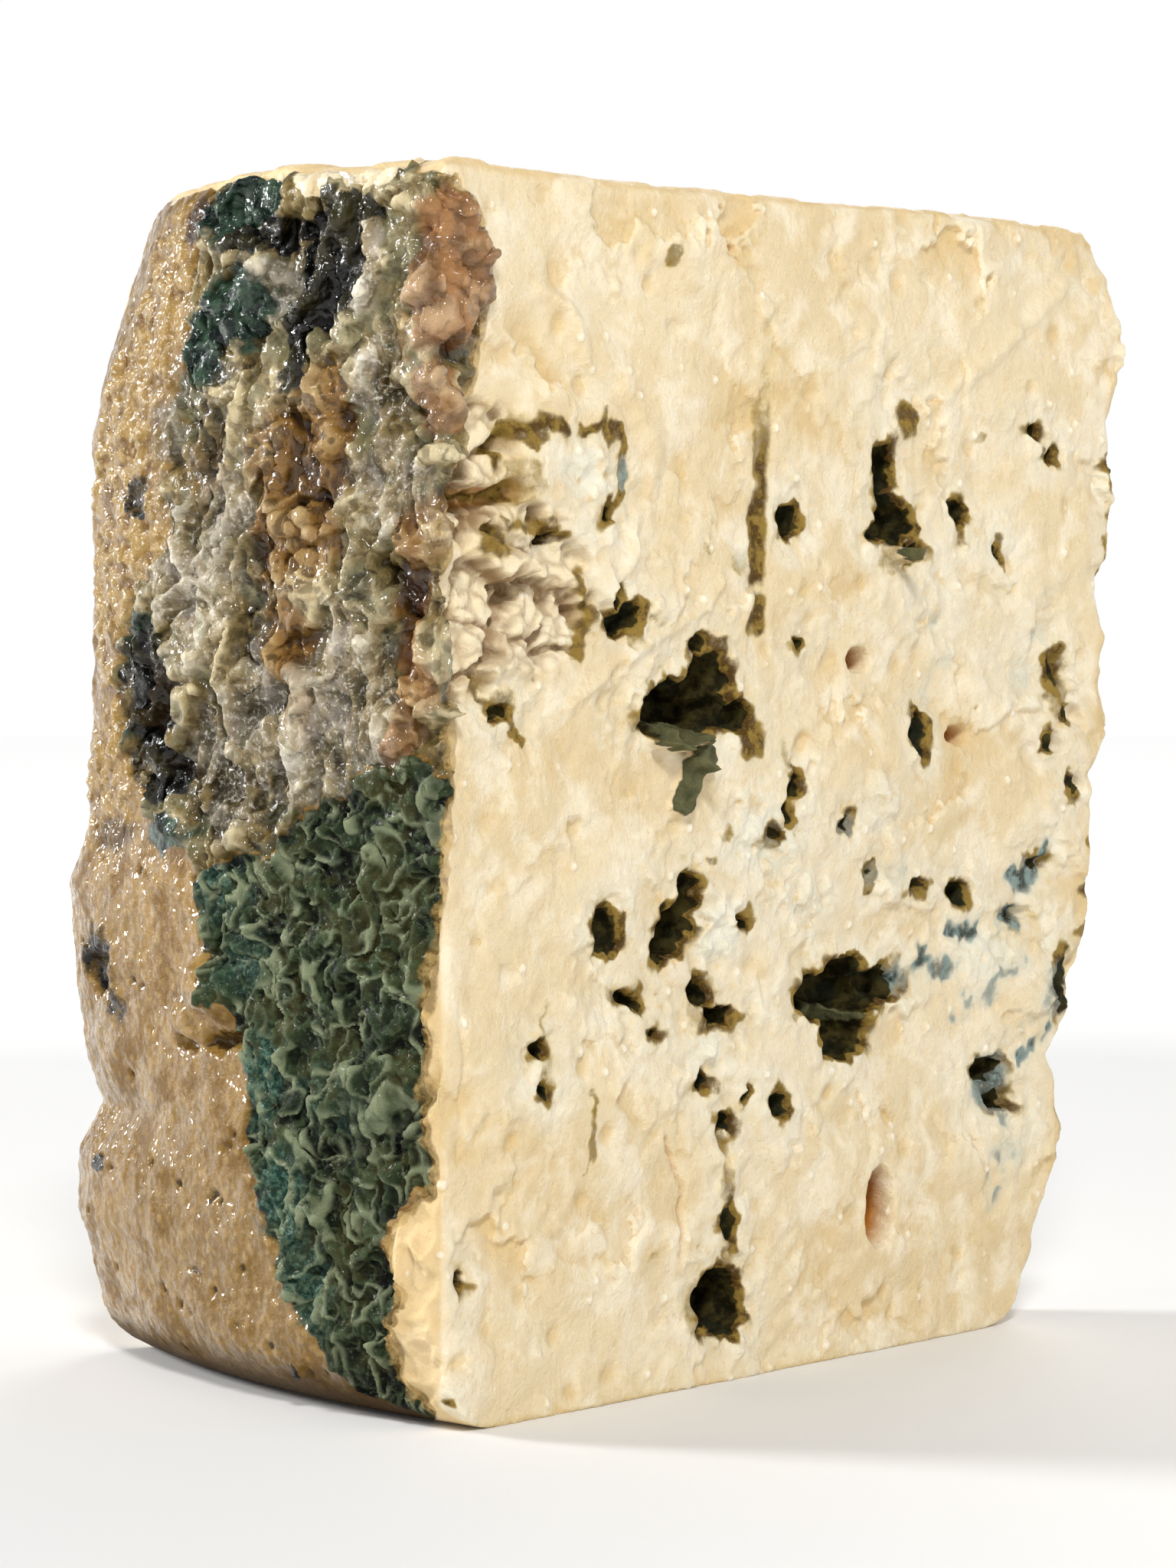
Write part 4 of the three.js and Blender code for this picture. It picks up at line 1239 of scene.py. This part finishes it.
# Painted shade: dark brown in the pits and hollows carved into the skin.
rindy = finish.wash(rindy, relief["pits"], 0.3, 0.9, 0.75, (52, 38, 18))
rindy = finish.blend(finish.edged(tints["bare"], small, 0.35, 0.6), rindy, tint(236, 220, 186))
border = finish.blend(finish.rise(small, 0.42, 0.6), tint(112, 84, 34), tint(188, 158, 100))
whole = finish.blend(finish.edged(depth["skin"], small, 0.4, 0.6), paste, rindy)
border_share = finish.sum("MULTIPLY", finish.edged(curd["border"], small, 0.5, 0.9), 0.7)
whole = finish.blend(border_share, whole, border)
finish.link(whole, finish.shader.inputs["Base Color"])

wet = finish.rise(patchy, 0.4, 0.62, 0.14, 0.36)
dry = finish.rise(small, 0.4, 0.6, 0.42, 0.62)
grey_velvet = finish.sum("MULTIPLY", skin["grey"], finish.rise(patchy, 0.4, 0.55))
green_velvet = finish.sum("MULTIPLY", skin["green"], finish.rise(patchy, 0.36, 0.5, 0.55, 1))
velvet = finish.sum("MAXIMUM", finish.sum("MAXIMUM", grey_velvet, cut["mould"]), green_velvet)
gloss = finish.mix_values(depth["skin"], dry, wet)
gloss = finish.mix_values(finish.sum("MAXIMUM", velvet, growth["rim"]), gloss, 0.78)
finish.link(gloss, finish.shader.inputs["Roughness"])

bump = finish.tree.nodes.new("ShaderNodeBump")
bump.inputs["Strength"].default_value = 0.8
bump.inputs["Distance"].default_value = 0.25 * MM
finish.link(finish.sum("ADD", small, tiny), bump.inputs["Height"])
finish.link(bump.outputs["Normal"], finish.shader.inputs["Normal"])
ripples = finish.tree.nodes.new("ShaderNodeBump")
ripples.inputs["Strength"].default_value = 1.0
ripples.inputs["Distance"].default_value = 0.4 * MM
finish.link(finish.noise(1.0, 1, 0.5, 0.3), ripples.inputs["Height"])
finish.link(ripples.outputs["Normal"], finish.shader.inputs["Coat Normal"])
finish.link(finish.rise(depth["skin"], 0.4, 0.7, 0.4, 0.0), finish.shader.inputs["Subsurface Weight"])
wet_patches = finish.rise(patchy, 0.38, 0.52, 0.15, 1.0)
wet_coat = finish.sum("MULTIPLY", finish.rise(depth["skin"], 0.4, 0.8), wet_patches)
wet_coat = finish.sum("MULTIPLY", wet_coat, finish.rise(growth["rim"], 0.0, 1.0, 1.0, 0.1))
wet_coat = finish.sum("MULTIPLY", wet_coat, finish.rise(tints["golden"], 0.0, 1.0, 1.0, 0.8))
wet_coat = finish.sum("MULTIPLY", wet_coat, finish.rise(velvet, 0.3, 0.9, 1.0, 0.15))
finish.link(wet_coat, finish.shader.inputs["Coat Weight"])
finish.shader.inputs["Coat Roughness"].default_value = 0.06
finish.shader.inputs["Coat IOR"].default_value = 1.36
finish.shader.inputs["Specular IOR Level"].default_value = 0.1
finish.shader.inputs["Subsurface Radius"].default_value = (1.0, 0.8, 0.55)
finish.shader.inputs["Subsurface Scale"].default_value = 1.1 * MM

# The faces laid flat, as [left, bottom, size of a millimetre], so that a baked finish is sharpest
# on the front cut and the rind.
FLAT_LAYOUT = {
    "front": (0.015, 0.005, 0.0057), "rind": (0.605, 0.005, 0.0057), "end": (0.955, 0.005, 0.0030),
    "back": (0.015, 0.61, 0.0036), "top": (0.40, 0.61, 0.0036), "base": (0.40, 0.83, 0.0028),
}
flat_places = {
    "front": (at["along_front"], at["z"]),
    "back": (at["along_back"], at["z"]),
    "rind": (at["round"], at["z"]),
    "top": (points[:, 0] + 52, points[:, 1] + 30), "base": (points[:, 0] + 52, points[:, 1] + 30),
    "end": (points[:, 1] + 6, at["z"]),
}
corner_points = np.empty(len(even_mesh.loops), np.int32)
even_mesh.loops.foreach_get("vertex_index", corner_points)
face_of_point = np.argmax([shares[face] for face in FACES], axis=0)
face_of_corner = np.repeat(face_of_point[corner_points[::4]], 4)
flat_corners = np.zeros((len(corner_points), 2), np.float32)
for number, face in enumerate(FACES):
    left, bottom, size = FLAT_LAYOUT[face]
    here = face_of_corner == number
    for column, start, place in zip((0, 1), (left, bottom), flat_places[face]):
        flat_corners[here, column] = start + size * place[corner_points[here]]
flat_map = even_mesh.uv_layers.new(name="OFBake")
flat_map.uv.foreach_set("vector", flat_corners.ravel())

even_mesh.materials.clear()
even_mesh.materials.append(finish.material)
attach(wedge, "root")
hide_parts("cheese_wedge")
